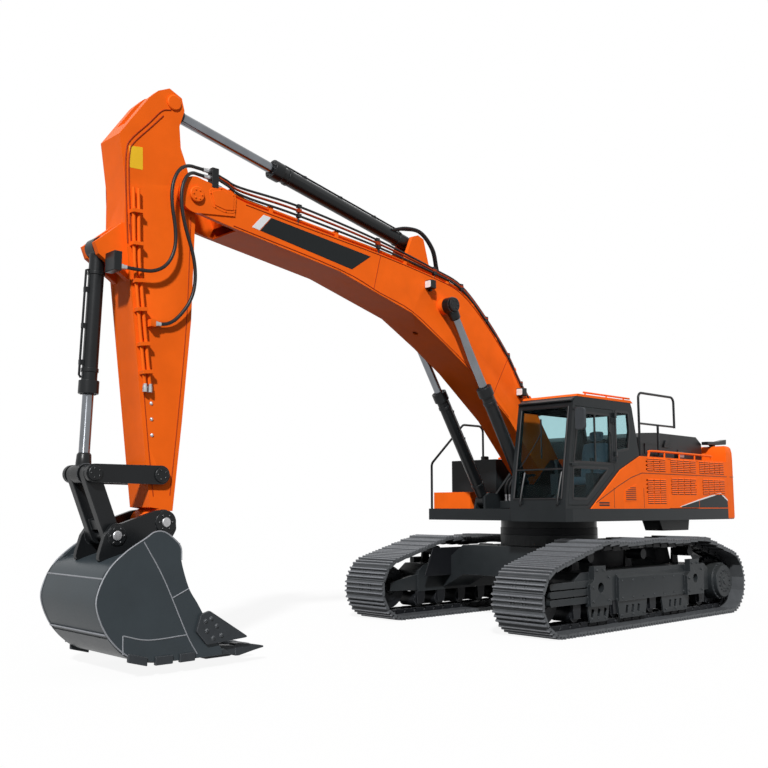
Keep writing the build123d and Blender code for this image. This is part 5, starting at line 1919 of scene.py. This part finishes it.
@dataclass(frozen=True)
class Ram:
    """One hydraulic cylinder.

    Attributes:
        barrel: solid and body of the barrel.
        rod: solid and body of the rod.
        base: X and Z of the barrel's pin.
        pin: X and Z of the rod's pin.
        y: middle of the cylinder.
        tube: outer radius of the barrel.
        length: distance from the barrel's pin to its head.
        rod_radius: radius of the rod.
        eye: radius of the rod's eye.
        eye_half: half its width.
    """

    barrel: str
    rod: str
    base: Flat
    pin: Flat
    y: float
    tube: float
    length: float
    rod_radius: float
    eye: float
    eye_half: float

    def at(self, distance: float, up: float = 0.0) -> Spot:
        """Point at a distance from the barrel's pin, moved square to the cylinder by up."""
        way = (Vector(self.pin) - Vector(self.base)).normalized()
        x, z = self.base
        return (x + way.x * distance - way.y * up, self.y, z + way.y * distance + way.x * up)


@dataclass
class Rams:
    """Hydraulic cylinders and the bucket's links."""

    lift_y: float = 440
    feed_off: float = 34
    clamp_shares: Spot = (0.3, 0.55, 0.8)
    head_bolts: int = 10
    link_cap: Cap = Cap(22, 6, 8, 12)
    link_cap_y: float = 270
    link_bolt_y: float = 290

    def barrel(self, ram: Ram) -> None:
        """Dresses one barrel and adds its head, clamps, feed pipe and head bolts.

        Args:
            ram: the cylinder.
        """
        dress_solid(ram.barrel, ram.barrel, BLACK, 3)
        form = Mould()
        length = ram.length
        # Start, width and rise of the head, its flange, a clamp and the foot's band.
        bands = ((length - 128, 140, 24), (length - 8, 14, 16), (length - 260, 46, 9), (260, 40, 10))
        for start, wide, rise in bands:
            r = ram.tube + rise
            ring = [(0, r - 4), (4, r), (wide - 4, r), (wide, r - 4)]
            form.lathe(ram.at(start), ram.at(start + wide), ring, 40)
        off = ram.tube + self.feed_off
        feed = [ram.at(250, ram.tube)]
        for distance in (262, 330, length / 2, length - 260, length - 180):
            feed.append(ram.at(distance, off))
        form.tube(feed + [ram.at(length - 150, ram.tube + 12)], 13, 10)
        for share in self.clamp_shares:
            form.box(ram.at(length * share, ram.tube + 16), (54, 40, 54))
        form.done(ram.barrel + "_fittings", ram.barrel, BLACK, 3)
        heads = []
        for up, out in disc((0, 0), ram.tube - 8, self.head_bolts):
            x, y, z = ram.at(length + 12, up)
            heads.append((x, y + out, z))
        way = (Vector(ram.pin) - Vector(ram.base)).normalized()
        bolts(ram.barrel + "_head_bolts", ram.barrel, BLACK, heads, (way.x, 0, way.y), 9)

    def rod(self, ram: Ram) -> None:
        """Dresses one plated rod and adds its dark eye.

        Args:
            ram: the cylinder.
        """
        dress_solid(ram.rod, ram.rod, CHROME, 3)
        x, z = ram.pin
        wide = ram.eye_half
        ring = [(0, ram.eye - 4), (5, ram.eye + 2), (2 * wide - 5, ram.eye + 2), (2 * wide, ram.eye - 4)]
        form = Mould().lathe((x, ram.y - wide, z), (x, ram.y + wide, z), ring, 40)
        whole = (Vector(ram.pin) - Vector(ram.base)).length
        neck = [(0, 2), (20, 16), (110, 22), (160, 22)]
        profile = [(along, ram.rod_radius + rise) for along, rise in neck]
        form.lathe(ram.at(whole - ram.eye - 110), ram.at(whole - ram.eye), profile, 32)
        form.done(ram.rod + "_eye", ram.rod, BLACK, 3)

    def links(self) -> None:
        """Guide and push links with their caps and bolts."""
        dress_solid("guide_link", "guide_link", BLACK, 8)
        dress_solid("push_link", "push_link", BLACK, 8)
        for name, sign in SIDES:
            spots = []
            form = Mould()
            for (x, z), radius in ((PINS.guide_pin, 82), (PINS.link_pin, 78)):
                form.cap((x, z), sign, self.link_cap_y, radius, self.link_cap)
                spots += bolt_ring((x, sign * self.link_bolt_y, z), 50, 5)
            form.done("link_caps_" + name, "guide_link", BLACK, 2)
            bolts("link_cap_bolts_" + name, "guide_link", BLACK, spots, (0, sign, 0), 10)

    def build(self) -> None:
        """Builds the cylinders and links."""
        rams = [
            Ram("arm_barrel", "arm_rod", PINS.arm_base, PINS.arm_pin, 0, 100, 2500, 66, 130, 89),
            Ram("curl_barrel", "curl_rod", PINS.curl_base, PINS.link_pin, 0, 82, 1560, 58, 105, 81),
        ]
        for name, sign in SIDES:
            nodes = ("lift_barrel_" + name, "lift_rod_" + name)
            y = sign * self.lift_y
            rams.append(Ram(*nodes, PINS.lift_foot, PINS.lift_pin, y, 88, 1880, 60, 110, 59))
        for ram in rams:
            self.barrel(ram)
            self.rod(ram)
        self.links()


@dataclass
class Hoses:
    """Hoses laid in fixed curves between the boom and the arm."""

    radius: float = 20
    bend_from: Spot = (6900, 300, 5420)
    bend_to: Spot = (7080, 340, 4800)
    long_route: tuple[Spot, ...] = (
        (6620, 250, 5510), (6765, 250, 5510), (6935, 285, 5500), (7085, 335, 5390),
        (7165, 352, 5190), (7158, 352, 4960), (7100, 345, 4730), (7085, 335, 4500),
        (7165, 325, 4300), (7330, 325, 4190), (7540, 325, 4180), (7740, 325, 4180),
    )
    short_route: tuple[Spot, ...] = (
        (6620, 265, 5428), (6755, 265, 5428), (6895, 312, 5420), (7005, 348, 5315),
        (7052, 356, 5130), (7030, 354, 4920), (6960, 345, 4700), (6870, 335, 4500),
        (6815, 320, 4290), (6815, 308, 4090), (6865, 298, 3930), (6950, 287, 3800),
        (7050, 273, 3690), (7160, 262, 3640), (7280, 262, 3640),
    )
    crimp: Outline = ((0, 30), (34, 30), (36, 26), (88, 26), (90, 21))

    @staticmethod
    def centreline(route: Sequence[Spot]) -> list[Vector]:
        """Smooth open spline along a route.

        Args:
            route: listed points.

        Returns:
            The spline's points in metres.
        """
        curve = bpy.data.curves.new("hose_line", "CURVE")
        curve.dimensions = "3D"
        spline = curve.splines.new("NURBS")
        spline.points.add(len(route) - 1)
        for point, spot in zip(spline.points, route):
            point.co = [c * MM for c in spot] + [1.0]
        spline.order_u = 3
        spline.use_endpoint_u = True
        spline.resolution_u = 8
        holder = link_to_scene(bpy.data.objects.new("hose_line", curve))
        points = [v.co.copy() for v in evaluated_mesh(holder).vertices]
        bpy.data.objects.remove(holder)
        return points

    def build(self) -> None:
        """Builds both hoses, each with a crimp at its first end."""
        for name, route in (("hose_long", self.long_route), ("hose_short", self.short_route)):
            line = self.centreline(route)
            data = Mould().tube([p / MM for p in line], self.radius, 14).mesh(name + "_cover")
            data.materials.append(Paint.of(RUBBER))
            data.shade_smooth()
            data.set_sharp_from_angle(angle=math.radians(60))
            piece = link_to_scene(bpy.data.objects.new(name + "_cover", data))
            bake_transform(piece)
            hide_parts(name)
            x, y, z = route[0]
            crimp = Mould().lathe((x, y, z), (x + 90, y, z), self.crimp, 8)
            crimp.done(name + "_crimp", "boom", SILVER, 2)


@dataclass
class Studio:
    """Floor, light and camera."""

    eye: Spot = (12436, 9283, 1679)
    yaw: float = 226.45
    pitch: float = 7.36
    lens: float = 44.6
    sensor: float = 36
    view_reach: float = 2000
    sun_from: Spot = (0.62, 0.54, 0.6)
    sun_power: float = 4.0
    sun_spread: float = 4
    sky_power: float = 0.3
    bounce: float = 0.14
    floor_tone: float = 0.94
    floor_glow: float = 0.9
    floor_half: float = 400000

    def camera(self) -> None:
        """Camera at the photograph's place."""
        data = bpy.data.cameras.new("camera")
        data.lens = self.lens
        data.sensor_width = self.sensor
        data.clip_end = self.view_reach
        holder = link_to_scene(bpy.data.objects.new("camera", data))
        yaw = math.radians(self.yaw)
        pitch = math.radians(self.pitch)
        way = Vector((math.cos(yaw) * math.cos(pitch), math.sin(yaw) * math.cos(pitch), math.sin(pitch)))
        turn = way.to_track_quat("-Z", "Y").to_matrix().to_4x4()
        holder.matrix_world = Matrix.Translation(Vector(self.eye) * MM) @ turn
        bpy.context.scene.camera = holder

    @staticmethod
    def gray(level: float) -> tuple[float, ...]:
        """Opaque gray of a level."""
        return (level, level, level, 1.0)

    @staticmethod
    def seen(nodes: Nodes) -> Value:
        """1 for rays that show the surround: camera, glossy and transmission rays."""
        rays = nodes.node("ShaderNodeLightPath").outputs
        seen = Value(nodes, rays["Is Camera Ray"])
        return seen.larger(rays["Is Glossy Ray"]).larger(rays["Is Transmission Ray"])

    def light(self) -> None:
        """Sun and a white surround that lights less than it shows."""
        data = bpy.data.lights.new("sun", "SUN")
        data.energy = self.sun_power
        data.angle = math.radians(self.sun_spread)
        holder = link_to_scene(bpy.data.objects.new("sun", data))
        holder.matrix_world = (-Vector(self.sun_from)).to_track_quat("-Z", "Y").to_matrix().to_4x4()
        world = bpy.data.worlds.new("surround")
        bpy.context.scene.world = world
        world.use_nodes = True
        nodes = Nodes(world.node_tree)
        white = self.gray(1.0)
        lit = nodes.node("ShaderNodeBackground", None, {"Color": white, "Strength": self.sky_power})
        shown = nodes.node("ShaderNodeBackground", None, {"Color": white, "Strength": 1.0})
        both = {0: self.seen(nodes), 1: lit.outputs[0], 2: shown.outputs[0]}
        mix = nodes.node("ShaderNodeMixShader", None, both)
        nodes.node("ShaderNodeOutputWorld", None, {0: mix.outputs[0]})

    def floor(self) -> None:
        """Pale floor that keeps a soft shadow and throws little light back."""
        reach = self.floor_half * MM
        data = bpy.data.meshes.new("floor")
        corners = [(x, y, 0) for x, y in oblong(-reach, -reach, reach, reach)]
        data.from_pydata(corners, [], [(0, 1, 2, 3)])
        material = bpy.data.materials.new("floor")
        material.use_nodes = True
        nodes = Nodes(material.node_tree)
        pale = nodes.node("ShaderNodeBsdfDiffuse", None, {"Color": self.gray(self.floor_tone)})
        dim = nodes.node("ShaderNodeBsdfDiffuse", None, {"Color": self.gray(self.bounce)})
        glow = nodes.node("ShaderNodeEmission", None, {"Strength": 1.0})
        bright = {0: self.floor_glow, 1: pale.outputs[0], 2: glow.outputs[0]}
        shown = nodes.node("ShaderNodeMixShader", None, bright)
        both = {0: self.seen(nodes), 1: dim.outputs[0], 2: shown.outputs[0]}
        mix = nodes.node("ShaderNodeMixShader", None, both)
        nodes.node("ShaderNodeOutputMaterial", None, {0: mix.outputs[0]})
        data.materials.append(material)
        link_to_scene(bpy.data.objects.new("floor", data))

    def build(self) -> None:
        """Builds the studio."""
        self.camera()
        self.light()
        self.floor()
        bpy.context.scene.view_settings.view_transform = "Standard"


def main() -> None:
    """Builds every sub-assembly in order."""
    logging.basicConfig(level=logging.INFO, format="%(message)s")
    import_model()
    for part in (Tracks(), SideFrames(), House(), Cab(), Boom(), Arm(), Bucket(), Rams(), Hoses()):
        LOG.info("building %s", type(part).__name__)
        part.build()
    Studio().build()


if __name__ == "__main__":
    main()
